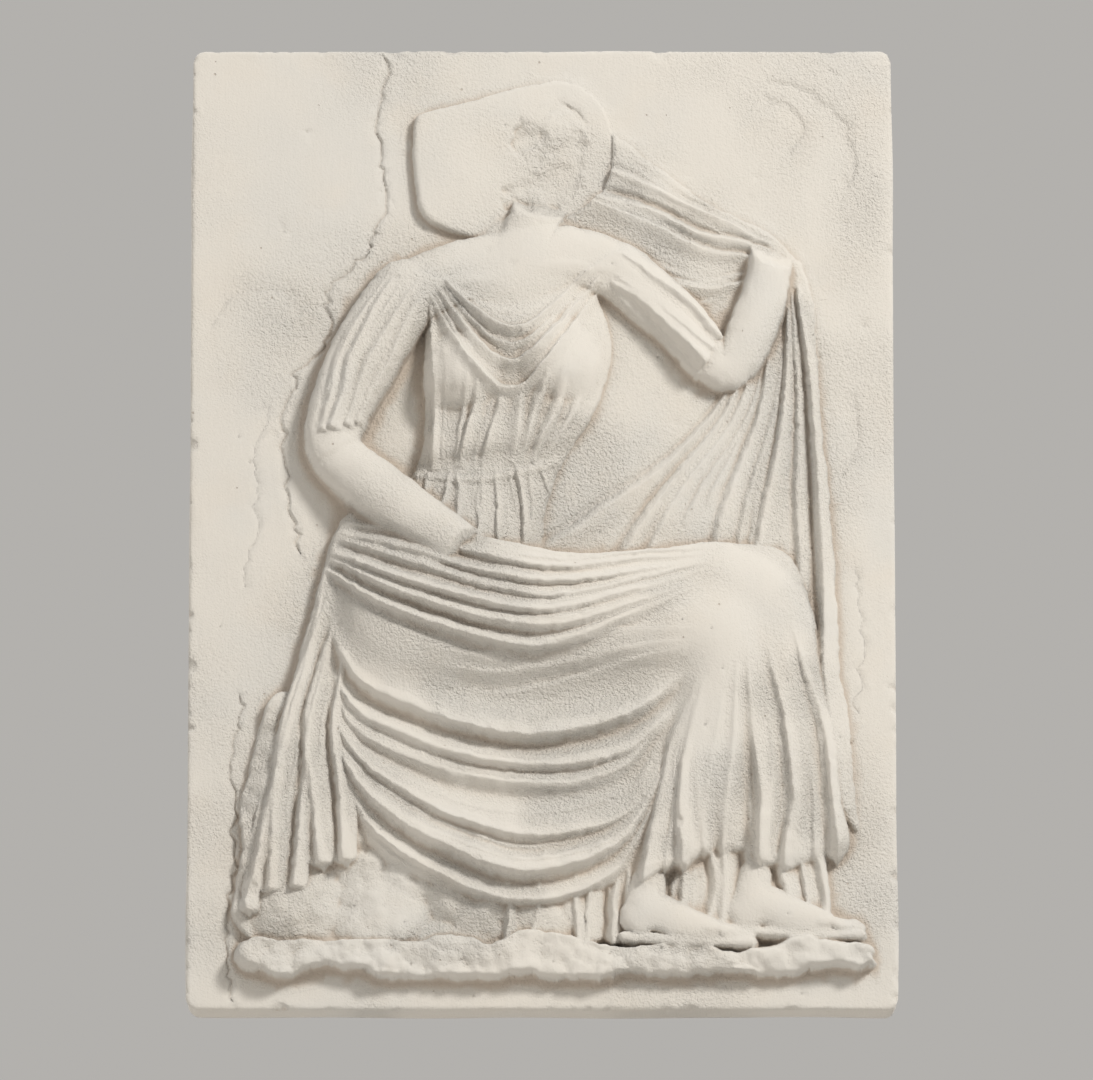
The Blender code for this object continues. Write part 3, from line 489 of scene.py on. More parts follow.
# It hangs from the lifted hand, behind the head on one side and down to the knees on the other
def veil(x, z):
    outline = [(0.112, 0.138), (0.127, 0.116), (0.131, 0.060), (0.135, 0.000), (0.139, -0.050),
               (0.145, -0.110), (0.149, -0.146), (0.139, -0.142), (0.120, -0.150),
               (0.040, -0.070), (-0.030, -0.040), (-0.010, 0.080), (-0.010, 0.140), (-0.005, 0.180),
               (0.028, 0.192), (0.070, 0.163)]
    folds = Folds(x, z)
    top = [(0.111, 0.134), (0.072, 0.156), (0.006, 0.190)]
    shoulder = [(0.108, 0.120), (0.070, 0.106), (0.020, 0.118)]
    folds.sweep(top, shoulder, 5, [0.002, 0.0065, 0.0085], [0.0025, 0.005, 0.0045], 31, fade=(0.02, 0.01),
                wander=0.4)
    folds.fine(top, shoulder, 6, [0.001, 0.0026, 0.0036], [0.001, 0.002, 0.002], 331, part=(0.4, 0.4))
    back = [(0.102, 0.100), (0.076, 0.050), (0.032, 0.014), (-0.020, -0.020)]
    front = [(0.122, 0.118), (0.130, 0.060), (0.136, -0.010), (0.150, -0.150)]
    folds.sweep(back, front, 7, [0.002, 0.006, 0.0085, 0.0095], [0.003, 0.0056, 0.0056, 0.0045], 32,
                fade=(0.02, 0.01), channel=0.3)
    folds.fine(back, front, 8, [0.001, 0.0026, 0.0034, 0.004], [0.001, 0.0022, 0.0024, 0.0016], 332,
               fade=(0.1, 0.2), part=(0.4, 0.4))
    inside = insideOf(x, z, curve(outline, 80, closed=True)) + 0.5 * folds.crests - 0.001
    ragged = 0.0006 * rough(x, z, 0.007, 334)
    return 0.0036 + folds.relief() + roundEdge(inside + ragged, 0.003)


# The mantle's loose end: folds that hang down the side of the seat, each to a tip of the zigzag hem
def cascade(x, z):
    count, top, foot = 5, place(-0.103, -0.028), place(-0.138, -0.186)
    folds = Folds(x, z)
    hem = []
    for k in range(count):
        tip = foot + (0.0112 * k, 0.0058 * k + 0.004 * (k % 2))
        knee = (top + tip) / 2 + (0.0035 * (-1) ** k - 0.002, 0.006)
        start = top + (0.0035 * k, 0.0)
        folds.fold(curve([start, knee, tip]), [0.002, 0.0052, 0.0078], [0.002, 0.0056, 0.0066], sharp=1.1,
                   lean=0.45, fade=(0.1, 0.01), channel=0.30)
        folds.fold(curve([start, knee + (0.0046, -0.010), tip + (0.0062, 0.002)]),
                   [0.001, 0.0024, 0.0034], [0.001, 0.0022, 0.003], sharp=1.1, lean=0.45,
                   fade=(0.5, 0.01), channel=0.30)
        hem += [tip + (-0.0048, 0.0012), tip + (0.0022, -0.0025), tip + (0.0064, 0.0034)]
    sides = [(-0.086, -0.100), (-0.086, -0.026), (-0.104, -0.020), (-0.120, -0.085), (-0.134, -0.140)]
    inside = insideOf(x, z, np.vstack([hem, sides])) + 0.3 * folds.crests - 0.001
    return 0.0112 + folds.relief() + roundEdge(inside, 0.0025)


# The chiton's hem, which shows under the mantle's
def pleats(x, z):
    outline = [(-0.022, -0.150), (0.132, -0.145), (0.134, -0.195), (0.050, -0.199), (-0.026, -0.200)]
    folds = Folds(x, z)
    nearHem, farHem = [(-0.016, -0.160), (-0.022, -0.202)], [(0.126, -0.150), (0.132, -0.200)]
    folds.sweep(nearHem, farHem, 16, 0.0058, 0.0055, 41, sharp=1.3, fade=(0.02, 0.01), wander=0.7)
    folds.fine(nearHem, farHem, 22, 0.002, 0.0026, 341, sharp=1.2, fade=(0.02, 0.01))
    inside = insideOf(x, z, np.array(outline)) + 0.5 * folds.crests - 0.001
    return 0.006 + folds.relief() + roundEdge(inside, 0.002)


# A foot from its outer side, on a thin sole; the little toe is the nearest
def foot(x, z, heel, level):
    ankle = curve([heel + (0.004, 0.014), heel + (0.002, 0.002), heel + (0.000, -0.003)], 12)
    ankle = limb(x, z, ankle, [0.008, 0.0088, 0.0092], level, 0.9)
    instep = curve([heel + (0.004, 0.001), heel + (0.018, -0.0045), heel + (0.034, -0.0085)], 20)
    instep = limb(x, z, instep, [0.0098, 0.0086, 0.0062], level, 0.9)
    form = merge(ankle, instep, 0.003)
    for k in range(4):
        root = heel + (0.0335 + 0.0034 * k, -0.0084 - 0.0004 * k)
        toe = curve([root, root + (0.0045, 0.0004), root + (0.0082, -0.0016)], 8)
        toe = limb(x, z, toe, [0.0028, 0.0024, 0.0022], level + 0.0042 - 0.0014 * k, 1.0)
        form = merge(form, toe, 0.0005)
    sole = curve([heel + (-0.007, -0.0125), heel + (0.019, -0.0138), heel + (0.052, -0.0142)], 12)
    return merge(form, limb(x, z, sole, 0.0022, level + 0.003, 0.8), 0.0006)


def rock(x, z):
    outline = [(-0.132, -0.092), (-0.116, -0.078), (-0.096, -0.080), (-0.020, -0.120), (0.020, -0.205),
               (-0.060, -0.206), (-0.134, -0.206), (-0.140, -0.150)]
    wavyX, wavyZ = x + 0.0035 * noise(x, z, 0.016, 61), z + 0.0035 * noise(x, z, 0.016, 62)
    inside = insideOf(wavyX, wavyZ, curve(outline, 60, closed=True))
    stone = 0.0085 + facets(x, z, 0.021, 51, 0.006, 2) + facets(x, z, 0.009, 52, 0.0016)
    stone = stone + facets(x, z, 0.0045, 353, 0.0007) + 0.0005 * rough(x, z, 0.005, 352)
    return stone + roundEdge(inside, 0.003)


# The rough strip of ground under the feet
def ledge(x, z):
    outline = [(-0.130, -0.199), (-0.060, -0.200), (0.000, -0.198), (0.075, -0.202), (0.142, -0.198),
               (0.153, -0.204), (0.138, -0.212), (0.000, -0.215), (-0.070, -0.213), (-0.136, -0.212)]
    wavyZ = z + 0.0035 * noise(x, z, 0.016, 62) + 0.001 * rough(x, z, 0.012, 65)
    inside = insideOf(x, wavyZ, curve(outline, 60, closed=True)) + 0.0006 * facets(x, z, 0.005, 374, 1.0)
    stone = 0.016 + facets(x, z, 0.011, 71, 0.0036, 2) + facets(x, z, 0.0048, 372, 0.0016)
    return stone + 0.0006 * rough(x, z, 0.004, 373) + roundEdge(inside, 0.0018)


# Lays in the raised patch that the lost head left, with the torn place in its middle
def overHead(surface, x, z):
    outline = [(-0.021, 0.138), (-0.036, 0.139), (-0.051, 0.145), (-0.058, 0.152), (-0.061, 0.170),
               (-0.060, 0.192), (-0.055, 0.199), (-0.034, 0.205), (-0.006, 0.213), (0.014, 0.214),
               (0.030, 0.202), (0.036, 0.180), (0.030, 0.160), (0.012, 0.146)]
    torn = [(-0.014, 0.149), (-0.020, 0.162), (-0.008, 0.172), (-0.016, 0.186), (-0.004, 0.199),
            (0.012, 0.203), (0.023, 0.190), (0.018, 0.176), (0.021, 0.164), (0.007, 0.152)]
    inside = insideOf(x, z, curve(outline, 60, closed=True))
    # It stands clear of the ground on its outer side and fades out behind the veil
    patch = 0.004 - 0.075 * (x + 0.010) + 0.001 * noise(x, z, 0.030, 84) + roundEdge(inside, 0.003)
    wavyX, wavyZ = x + 0.0022 * rough(x, z, 0.009, 81), z + 0.0022 * rough(x, z, 0.009, 82)
    scar = ease(insideOf(wavyX, wavyZ, curve(torn, 40, closed=True)) / 0.0015)
    depth = 2.6 * rough(0.6 * x + 0.4 * z, 0.9 * z - 0.35 * x, 0.010, 83)
    steps = np.floor(depth) + ease(2.5 * (depth - np.floor(depth)))
    chipped = 0.0008 * steps + facets(x, z, 0.007, 85, 0.0009) + facets(x, z, 0.003, 383, 0.0005)
    patch = patch + scar * (chipped - 0.0012)
    return np.where(inside > 0.0015, np.maximum(patch, 0.0008), merge(surface, patch, 0.0008))


def carving(x, z, shape):
    stillX, stillZ = x, z
    x = stillX + 0.0014 * noise(stillX, stillZ, 0.030, 3) + 0.0004 * noise(stillX, stillZ, 0.0032, 305)
    z = stillZ + 0.0014 * noise(stillX, stillZ, 0.030, 4) + 0.0004 * noise(stillX, stillZ, 0.0032, 306)
    surface = merge(0.0004 * rough(x, z, 0.07, 91), veil(x, z), 0.0008)
    surface = overHead(surface, x, z)
    skin = torso(x, z)
    body = merge(skin, legs(x, z), 0.012)
    near, far = nearArm(x, z), farArm(x, z)
    layers = (rock(x, z), pleats(x, z),
              foot(x, z, figure["farAnkle"] + (-0.008, -0.0075), 0.008),
              foot(x, z, figure["nearAnkle"] + (-0.005, -0.0052), 0.0115),
              ledge(x, z), far, sleeve(x, z, far, **sleeves["far"]), skin, chiton(x, z, skin),
              cascade(x, z), mantle(x, z, body, shape), near, sleeve(x, z, near, **sleeves["near"]))
    for layer in layers:
        surface = merge(surface, layer, 0.0012)
    return surface


# Age and handling, on the finished carving
wear = dict(
    softening=0.0008,    # the width over which rubbed places are smoothed
    crackWidth=0.0013,
    crackDepth=0.0018,
    crackLip=0.00045,    # how far one side of a crack stands up
    flakeDepth=0.0008,
    nicks=110,
    nickSize=(0.0008, 0.0022),
    pits=55,             # holes that air bubbles left
    pitSize=(0.0005, 0.0009),
    pitDepth=0.0011,
    edgeNicks=120,
    edgeNickSize=(0.0011, 0.0034),  # the smallest, and how much larger they get
    edgeUneven=0.00045,
    uneven=0.00024,      # the casting's slow swells
    seed=7,
    # Where the skin is sandy or smooth: centre, half width and half height
    sandy=(((-0.121, 0.108), 0.032, 0.034), ((0.150, 0.150), 0.020, 0.060), ((0.152, -0.150), 0.020, 0.065),
           ((-0.135, -0.195), 0.045, 0.030)),
    smooth=(((-0.128, 0.180), 0.060, 0.065), ((-0.146, -0.010), 0.028, 0.080),
            ((-0.036, 0.172), 0.036, 0.044), ((-0.040, 0.070), 0.025, 0.026),
            ((0.014, 0.080), 0.025, 0.030), ((0.090, -0.052), 0.034, 0.030)),
    # Where a raised edge was knocked off: centre, size and depth
    losses=(((0.101, -0.030), 0.0075, 0.0022), ((0.1405, -0.100), 0.0065, 0.004),
            ((-0.134, -0.178), 0.007, 0.005), ((-0.100, -0.078), 0.006, 0.003),
            ((0.062, -0.146), 0.006, 0.0028), ((0.128, 0.100), 0.0055, 0.003),
            ((-0.030, -0.160), 0.005, 0.0022), ((-0.058, 0.112), 0.0045, 0.0016)),
    # The cracks: where each runs, its seed and its share of the full width
    cracks=(([(-0.0735, 0.2275), (-0.0775, 0.190), (-0.0745, 0.158), (-0.083, 0.132)], 411, 1.0),
            ([(-0.083, 0.132), (-0.1005, 0.112), (-0.101, 0.090), (-0.1165, 0.070),
              (-0.1225, 0.044), (-0.119, 0.010), (-0.114, -0.016)], 412, 1.0),
            ([(-0.141, -0.080), (-0.146, -0.118), (-0.1435, -0.160), (-0.1475, -0.196),
              (-0.145, -0.2275)], 413, 0.85),
            ([(-0.128, 0.058), (-0.136, 0.030), (-0.134, 0.000), (-0.1415, -0.030)], 414, 0.4),
            ([(0.146, -0.020), (0.151, -0.052), (0.1485, -0.090)], 415, 0.4)),
    # The rims of flakes that came away: where each runs, and its seed
    flakes=(([(0.144, 0.158), (0.1495, 0.176), (0.143, 0.196), (0.127, 0.210), (0.104, 0.217)], 421),
            ([(0.117, 0.176), (0.124, 0.190), (0.118, 0.203), (0.104, 0.209)], 422),
            ([(-0.158, 0.092), (-0.146, 0.110), (-0.126, 0.112), (-0.116, 0.098)], 423),
            ([(0.140, 0.020), (0.150, 0.040), (0.148, 0.066)], 424)),
)


# A jagged line between places, for cracks and the rims of flakes
def jagged(points, seed, jitter=0.0016, step=0.0034):
    rng = np.random.default_rng(seed)
    count = int(np.hypot(*np.diff(np.asarray(points, float), axis=0).T).sum() / step)
    line = curve(points, count)
    line = line + rng.uniform(-jitter, jitter, line.shape)
    return line + 0.5 * rng.normal(0, jitter, (count, 2)) * [1, 0]


def crack(surface, x, z, points, seed, width):
    near, side, t = nearLine(x, z, jagged(points, seed), 0.006)
    wide = wear["crackWidth"] * width * (1 + 0.35 * noise(x[near], z[near], 0.006, seed))
    wide = wide * ease(t / 0.03) * ease((1 - t) / 0.03) + 1e-5
    cut = clamp(1.4 - 1.4 * np.abs(side) / wide)
    lip = wear["crackLip"] * width * clamp(1 - np.abs(side) / 0.005) * np.where(side > 0, 1, -0.3)
    surface[near] += lip - wear["crackDepth"] * width * cut


# The rim of a shallow scab that came away: the face steps down at the line and climbs back beyond it
def flake(surface, x, z, points, seed):
    near, side, t = nearLine(x, z, jagged(points, seed, 0.0008, 0.003), 0.012)
    step = np.where(side > 0, ease(side / 0.0006) * (1 - ease((side - 0.001) / 0.010)), 0)
    dug = ease((noise(x[near], z[near], 0.006, seed) + 0.5) / 0.6)
    step = step + clamp(1.3 - np.abs(side) / 0.0007) * dug
    surface[near] -= wear["flakeDepth"] * step * ease(t / 0.10) * ease((1 - t) / 0.10)


# A piece knocked off a raised edge: the form is cut back to a rough, tilted break
def loss(surface, x, z, centre, size, depth, seed):
    near = nearSpot(x, z, centre, 1.6 * size)
    px, pz = x[near], z[near]
    away = np.hypot(px - centre[0], pz - centre[1]) / size * (1 + 0.35 * rough(px, pz, 0.006, seed))
    top = surface[near].max()
    face = top - depth + 0.75 * size * np.clip(away, 0, 9) ** 2.2 + facets(px, pz, 0.0028, seed, 0.0005)
    surface[near] = np.minimum(surface[near], np.maximum(face + 0.0004 * rough(px, pz, 0.003, seed), 0.001))


def weather(surface, x, z, shape, fromEdge):
    rng = np.random.default_rng(wear["seed"])
    soft = blur(surface.reshape(shape), wear["softening"]).ravel()
    rubbed = ease((noise(x, z, 0.045, 401) + 0.35 * noise(x, z, 0.015, 402) - 0.1) / 0.7)
    surface = surface + rubbed * ease(surface / 0.012) * (soft - surface)
    for k, (centre, size, depth) in enumerate(wear["losses"]):
        loss(surface, x, z, centre, size, depth, 450 + k)
    # Nicks, which show most on crests
    for k in range(wear["nicks"]):
        centre = (rng.uniform(-0.13, 0.145), rng.uniform(-0.205, 0.19))
        size = rng.uniform(*wear["nickSize"])
        near = nearSpot(x, z, centre, 2 * size)
        tall, turn = size * rng.uniform(0.4, 1.0), rng.uniform(0, 180)
        surface[near] -= mound(x[near], z[near], centre, size, tall, 0.30 * size, turn, 0.6)
    for k in range(wear["pits"]):
        centre = (rng.uniform(-0.165, 0.165), rng.uniform(-0.225, 0.225))
        size = rng.uniform(*wear["pitSize"])
        near = nearSpot(x, z, centre, 2 * size)
        away = np.hypot(x[near] - centre[0], z[near] - centre[1]) / size
        surface[near] -= wear["pitDepth"] * clamp(1.5 - 1.5 * away)
    for points, seed, width in wear["cracks"]:
        crack(surface, x, z, points, seed, width)
    for points, seed in wear["flakes"]:
        flake(surface, x, z, points, seed)
    # The casting's swells
    swells = noise(x, z, 0.018, 435) + 0.45 * noise(x, z, 0.008, 436)
    surface = surface + wear["uneven"] * swells * ease(fromEdge / 0.01)
    # Knocks along the front edge, and its uneven rubbing
    for k in range(wear["edgeNicks"]):
        share, side = rng.uniform(-0.5, 0.5), rng.integers(4)
        centre = ((slab["width"] * share, slab["height"] * (side - 0.5)) if side < 2
                  else (slab["width"] * (side - 2.5), slab["height"] * share))
        size = wear["edgeNickSize"][0] + wear["edgeNickSize"][1] * rng.uniform(0, 1) ** 2.5
        near = nearSpot(x, z, centre, size)
        bite = mound(x[near], z[near], centre, size, size * rng.uniform(0.5, 1), 1.0, 0, 0.7)
        surface[near] -= bite * size * 0.6
    return surface + wear["edgeUneven"] * rough(x, z, 0.012, 441) * (1 - ease(fromEdge / 0.009))


# How sandy the skin is: it differs from patch to patch, and the swells are rubbed smoother
def grit(surface, x, z, shape):
    patchy = noise(x, z, 0.050, 461) + 0.5 * noise(x, z, 0.020, 462)
    swell = ease((surface - blur(surface.reshape(shape), 0.008).ravel()) / 0.0025)
    ground = 0.12 + 0.75 * ease((patchy + 0.3) / 1.0)
    carved = np.maximum(0.38 + 1.25 * ease((patchy + 0.5) / 1.0) - 0.80 * swell, 0.08)
    sand = ground + ease(surface / 0.004) * (carved - ground)
    for centre, halfWidth, halfHeight in wear["sandy"]:
        sand = sand + mound(x, z, centre, halfWidth, halfHeight, 0.95)
    for centre, halfWidth, halfHeight in wear["smooth"]:
        sand = sand * (1 - mound(x, z, centre, halfWidth, halfHeight, 0.85, power=0.8))
    return sand


# The slab's face over the unit square, with round corners and slightly wavy sides
def slabOutline(u, v):
    x = u * (slab["width"] + slab["waver"] * noise(0 * u, v * slab["height"], 0.045, 201))
    z = v * (slab["height"] + slab["waver"] * noise(u * slab["width"], 0 * v, 0.045, 202))
    halfX, halfZ, corner = slab["width"] / 2, slab["height"] / 2, slab["corner"]
    pastX, pastZ = np.abs(x) - halfX + corner, np.abs(z) - halfZ + corner
    inCorner = (pastX > 0) & (pastZ > 0)
    pull = np.maximum(pastX, pastZ) / np.maximum(np.hypot(pastX, pastZ), 1e-9)
    x = np.where(inCorner, np.sign(x) * (halfX - corner + pastX * pull), x)
    z = np.where(inCorner, np.sign(z) * (halfZ - corner + pastZ * pull), z)
    past = np.hypot(np.maximum(pastX, 0), np.maximum(pastZ, 0)) * np.where(inCorner, pull, 1)
    fromEdge = corner - past - np.minimum(np.maximum(pastX, pastZ), 0)
    return x, z, np.clip(fromEdge, 0, None)


# A flat grid, and its vertices' places in the unit square, from -0.5 to 0.5
def addGrid(form, columns, rows):
    made = bmesh.ops.create_grid(form, x_segments=columns, y_segments=rows, size=0.5)["verts"]
    return np.array([vertex.co[:2] for vertex in made])


# The face and the sides are one grid: its outer rows fold back over the rim and down the sides
def frontPlaces(unit, columns, rows):
    across, up = columns - 2 * slab["sideRows"], rows - 2 * slab["sideRows"]
    u, v = unit[:, 0] * columns / across, unit[:, 1] * rows / up
    past = np.clip(np.maximum((np.abs(u) - 0.5) * across, (np.abs(v) - 0.5) * up).round(3), 0, None)
    x, z, fromEdge = slabOutline(u * 0.5 / (0.5 + past / across), v * 0.5 / (0.5 + past / up))
    order = np.lexsort((unit[:, 0].round(6), unit[:, 1].round(6)))
    shape = (rows + 1, columns + 1)
    carved = carving(x[order], z[order], shape)
    print("relief carved")
    worn = weather(carved, x[order], z[order], shape, fromEdge[order])
    height, hollow, sandy = np.empty((3, len(unit)))
    height[order] = worn
    # How deep each spot lies in a recess; the material paints dust and shade there
    hollow[order] = sum(clamp((blur(worn.reshape(shape), size).ravel() - worn) / depth)
                        for size, depth in slab["hollows"])
    sandy[order] = grit(worn, x[order], z[order], shape)
    down = clamp(past / (slab["sideRows"] - 1))
    last = past > slab["sideRows"] - 0.5
    frontY = slab["backY"] - slab["thickness"] - height - roundEdge(fromEdge, slab["edge"])
    y = frontY + (slab["backY"] - slab["backEdge"] - frontY) * down
    # The sides bulge and dip a little, and their back edge is slightly broken
    outX = np.sign(x) * np.abs(2 * x / slab["width"]) ** 24
    outZ = np.sign(z) * np.abs(2 * z / slab["height"]) ** 24
    size = np.maximum(np.hypot(outX, outZ), 1e-6)
    bulge = slab["sideUneven"] * rough(0.6 * (x + z), y, 0.008, 501) * np.sin(np.pi * down)
    move = np.where(past > 0, bulge - slab["backEdge"] * last, 0) / size
    y = np.where(last, slab["backY"], y)
    return np.stack([x + move * outX, y, z + move * outZ], 1), np.stack([hollow * (past == 0), sandy], 1)


# Struck off with a board while wet: flat, with its faint strokes and a few air pits
def backPlaces(unit):
    x, z = slabOutline(unit[:, 0] * slab["backSpan"], unit[:, 1] * slab["backSpan"])[:2]
    strokes = noise(0.12 * x, z, 0.006, 511) + 0.5 * noise(0.2 * x, z, 0.0028, 512)
    low = slab["backUneven"] * (0.6 + 0.4 * strokes + 0.5 * noise(x, z, 0.05, 513))
    rng = np.random.default_rng(514)
    for k in range(slab["backPits"]):
        centre = rng.uniform(-0.16, 0.16), rng.uniform(-0.22, 0.22)
        size = rng.uniform(0.002, 0.0045)
        tall, turn = size * rng.uniform(0.6, 1), rng.uniform(0, 180)
        low = low + mound(x, z, centre, size, tall, 0.4 * size, turn, 0.7)
    return np.stack([x, slab["backY"] - np.clip(low, 0, None), z], 1)


def plaqueMesh():
    columns = round(slab["width"] / slab["grid"]) + 2 * slab["sideRows"]
    rows = round(slab["height"] / slab["grid"]) + 2 * slab["sideRows"]
    form = bmesh.new()
    hollowLayer = form.verts.layers.float.new("hollow")
    sandyLayer = form.verts.layers.float.new("sandy")
    front, looks = frontPlaces(addGrid(form, columns, rows), columns, rows)
    back = backPlaces(addGrid(form, slab["backColumns"], slab["backRows"]))
    looks = np.vstack([looks, np.tile((0.0, slab["backSand"]), (len(back), 1))])
    for vertex, spot, (hollow, sandy) in zip(form.verts, np.vstack([front, back]), looks):
        vertex.co = spot
        vertex[hollowLayer] = hollow
        vertex[sandyLayer] = sandy
    bmesh.ops.bridge_loops(form, edges=[edge for edge in form.edges if edge.is_boundary])
    bmesh.ops.recalc_face_normals(form, faces=form.faces)
    bmesh.ops.triangulate(form, faces=form.faces)
    mesh = bpy.data.meshes.new("plasterRelief")
    form.to_mesh(mesh)
    form.free()
    mesh.shade_smooth()
    return mesh


# A node's output, so that sums of outputs can be written as Python expressions
class Value:
    def __init__(self, shader, socket):
        self.shader, self.socket = shader, socket

    def reckon(self, operation, first, second):
        return self.shader.add("Math", dict(operation=operation), {0: first, 1: second})

    def __add__(self, other):
        return self.reckon("ADD", self, other)

    def __sub__(self, other):
        return self.reckon("SUBTRACT", self, other)

    def __rsub__(self, other):
        return self.reckon("SUBTRACT", other, self)

    def __mul__(self, other):
        return self.reckon("MULTIPLY", self, other)

    __radd__ = __add__
    __rmul__ = __mul__


class Shader:
    def __init__(self, name):
        self.material = bpy.data.materials.new(name)
        self.material.use_nodes = True
        self.tree = self.material.node_tree
        self.principled = self.tree.nodes["Principled BSDF"]

    # Gives a socket its value, or links a node's output to it
    def fill(self, socket, value):
        if isinstance(value, Value):
            self.tree.links.new(value.socket, socket)
        else:
            socket.default_value = value

    # Adds a node: its settings first, then its sockets' values and links; gives one output
    def add(self, kind, settings, sockets, output=0):
        node = self.tree.nodes.new("ShaderNode" + kind)
        for name, value in settings.items():
            setattr(node, name, value)
        for name, value in sockets.items():
            self.fill(node.inputs[name], value)
        return Value(self, node.outputs[output])

    def finish(self, name, value):
        self.fill(self.principled.inputs[name], value)


# Cast gypsum plaster, a warm off-white, with sizes in metres
plaster = dict(
    body=(0.800, 0.775, 0.730, 1),
    cool=(0.765, 0.755, 0.728, 1),   # patches of a greyer white
    coolPatch=0.060,
    warm=(0.800, 0.760, 0.700, 1),   # patches that took up some of the parting oil
    warmPatch=0.035,
    dustAndShade=(0.520, 0.405, 0.300, 1),   # dust with painted shade, laid into the recesses and pinholes
    recessDustAndShade=0.50,
    holeDustAndShade=0.4,
    roughness=0.86,
    roughnessRange=0.10,
    roughnessPatch=0.020,
    diffuseRoughness=0.6,
    specular=0.35,
    grain=0.001,
    grainHeight=0.00115,
    pebble=0.0015,
    pebbleHeight=0.00125,
    hole=0.0085,                     # how far apart the pinholes are
    holePatch=0.013,
    holeHeight=0.0006,
    stroke=0.0022,
    strokeHeight=0.00020,
)


def plasterMaterial():
    s = Shader("plaster")
    where = s.add("TexCoord", {}, {}, "Object")

    def noiseOf(size, detail=2.0, roughness=0.5, vector=where):
        return s.add("TexNoise", {}, dict(Vector=vector, Scale=1 / size, Detail=detail,
                                          Roughness=roughness))

    def ramp(value, low, high):
        return s.add("MapRange", dict(interpolation_type="SMOOTHSTEP"),
                     {"Value": value, "From Min": low, "From Max": high})

    def mixColour(share, a, b):
        return s.add("Mix", dict(data_type="RGBA"), {"Factor": share, "A": a, "B": b}, "Result")

    hollow = s.add("Attribute", dict(attribute_name="hollow"), {}, "Fac")
    sandy = s.add("Attribute", dict(attribute_name="sandy"), {}, "Fac") + ramp(hollow, 0.03, 0.4) * 0.25
    pebbles = noiseOf(plaster["pebble"], 2.0, 0.55)
    grain = noiseOf(plaster["grain"], 2.0, 0.6)
    stretched = s.add("Mapping", dict(vector_type="TEXTURE"), dict(Vector=where, Scale=(1.0, 1.0, 6.0)))
    strokes = noiseOf(plaster["stroke"], 2.0, 0.5, stretched)
    cells = s.add("TexVoronoi", dict(feature="F1"), dict(Vector=where, Scale=1 / plaster["hole"]))
    chance = ramp(noiseOf(plaster["holePatch"], 1.0), 0.56, 0.60)
    holes = (1 - ramp(cells, 0.04, 0.075)) * chance
    height = (pebbles * sandy * plaster["pebbleHeight"] + grain * (sandy + 0.16) * plaster["grainHeight"]
              + strokes * plaster["strokeHeight"] - holes * plaster["holeHeight"])
    s.finish("Normal", s.add("Bump", {}, dict(Height=height, Distance=1.0, Strength=1.0)))
    greyer = ramp(noiseOf(plaster["coolPatch"], 3.0), 0.45, 0.70) * 0.6
    oiled = ramp(noiseOf(plaster["warmPatch"], 4.0), 0.50, 0.75) * 0.5
    colour = mixColour(greyer, plaster["body"], plaster["cool"])
    colour = mixColour(oiled, colour, plaster["warm"])
    # Dust and painted shade: the colour darkens and warms where the surface lies in a recess, and in the
    # pinholes
    dustAndShadeShare = ramp(hollow, 0.30, 1.7) * plaster["recessDustAndShade"] + holes * plaster["holeDustAndShade"]
    s.finish("Base Color", mixColour(dustAndShadeShare, colour, plaster["dustAndShade"]))
    uneven = noiseOf(plaster["roughnessPatch"]) - 0.5
    s.finish("Roughness", uneven * plaster["roughnessRange"] + plaster["roughness"])
    s.finish("Diffuse Roughness", plaster["diffuseRoughness"])
    s.finish("Specular IOR Level", plaster["specular"])
    return s.material


def addObject(name, data):
    item = bpy.data.objects.new(name, data)
    scene.collection.objects.link(item)
    return item


plaque = addObject("plasterRelief", plaqueMesh())
plaque.data.materials.append(plasterMaterial())
fewer = plaque.modifiers.new("fewer faces", "DECIMATE")
fewer.ratio = slab["triangles"] / len(plaque.data.polygons)
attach(plaque, "root")
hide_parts("relief_plaque")
print("plaque cast,", len(plaque.data.polygons), "triangles before thinning")

# Angles are in degrees, distances in metres and powers in watts
studio = dict(
    floorLevel=-1.10,
    floorSize=40.0,
    floorColour=(0.62, 0.60, 0.57, 1),
    floorRoughness=0.25,
    background=(0.355, 0.345, 0.330, 1),
    strength=1.27,
    key=dict(turn=31, rise=23, away=2.4, size=0.42, power=36, colour=(1.0, 0.965, 0.91)),
    fill=dict(turn=-45, rise=-8, away=2.6, size=1.2, power=6, colour=(1.0, 0.94, 0.87)),
    back=dict(turn=222, rise=34, away=2.6, size=0.5, power=44, colour=(1.0, 0.97, 0.94)),
    aim=(0.0, -0.03, 0.0),
)


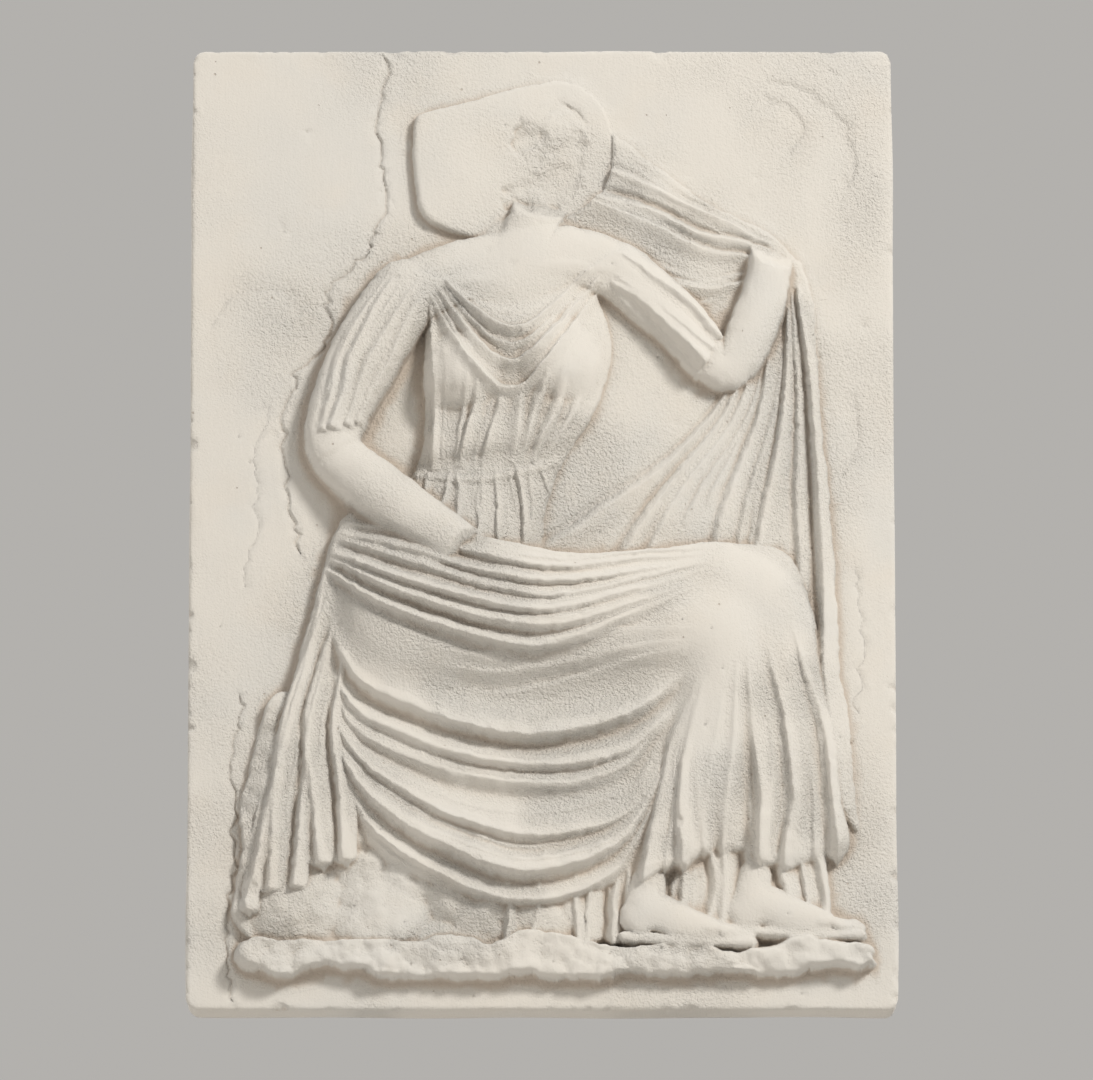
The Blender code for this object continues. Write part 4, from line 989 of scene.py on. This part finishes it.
def plainMaterial(name, colour, roughness):
    s = Shader(name)
    s.finish("Base Color", colour)
    s.finish("Roughness", roughness)
    return s.material


# A direction from the object, turned to the right of the front and raised, in degrees
def direction(turn, rise):
    a, e = np.radians(turn), np.radians(rise)
    return Vector((np.sin(a) * np.cos(e), -np.cos(a) * np.cos(e), np.sin(e)))


def aimAt(item, position, target):
    item.location = position
    item.rotation_euler = (Vector(target) - Vector(position)).to_track_quat("-Z", "Y").to_euler()


def addLight(name, turn, rise, away, size, power, colour):
    light = bpy.data.lights.new(name, "AREA")
    light.shape = "DISK"
    light.size, light.energy, light.color = size, power, colour
    item = addObject(name, light)
    aimAt(item, Vector(studio["aim"]) + away * direction(turn, rise), studio["aim"])


form = bmesh.new()
bmesh.ops.create_circle(form, cap_ends=True, segments=96, radius=studio["floorSize"] / 2)
bmesh.ops.translate(form, verts=form.verts, vec=(0, 0, studio["floorLevel"]))
floorMesh = bpy.data.meshes.new("floor")
form.to_mesh(floorMesh)
form.free()
floor = addObject("floor", floorMesh)
floorMesh.materials.append(plainMaterial("floorPaint", studio["floorColour"], studio["floorRoughness"]))

world = bpy.data.worlds.new("studio")
scene.world = world
world.use_nodes = True
sky = world.node_tree.nodes["Background"].inputs
sky["Color"].default_value = studio["background"]
sky["Strength"].default_value = studio["strength"]
for name in ("key", "fill", "back"):
    addLight(name + "Light", **studio[name])
print("studio lit")

# A long lens that looks up a little at the slab; tall is the height of what it sees there
lens = dict(turn=0.0, rise=-10.5, away=4.0, tall=0.5135, wideToTall=1093 / 1080, sensor=36.0,
            aim=(0.0021, 0.0, -0.0012))
camera = addObject("camera", bpy.data.cameras.new("camera"))
aimAt(camera, Vector(lens["aim"]) + lens["away"] * direction(lens["turn"], lens["rise"]), lens["aim"])
camera.data.sensor_fit = "HORIZONTAL"
camera.data.sensor_width = lens["sensor"]
camera.data.lens = lens["sensor"] * lens["away"] / (lens["tall"] * lens["wideToTall"])
camera.data.clip_start, camera.data.clip_end = 0.1, 100.0
scene.camera = camera
scene.view_settings.view_transform = "Standard"
scene.view_settings.look = "None"
print("camera placed")
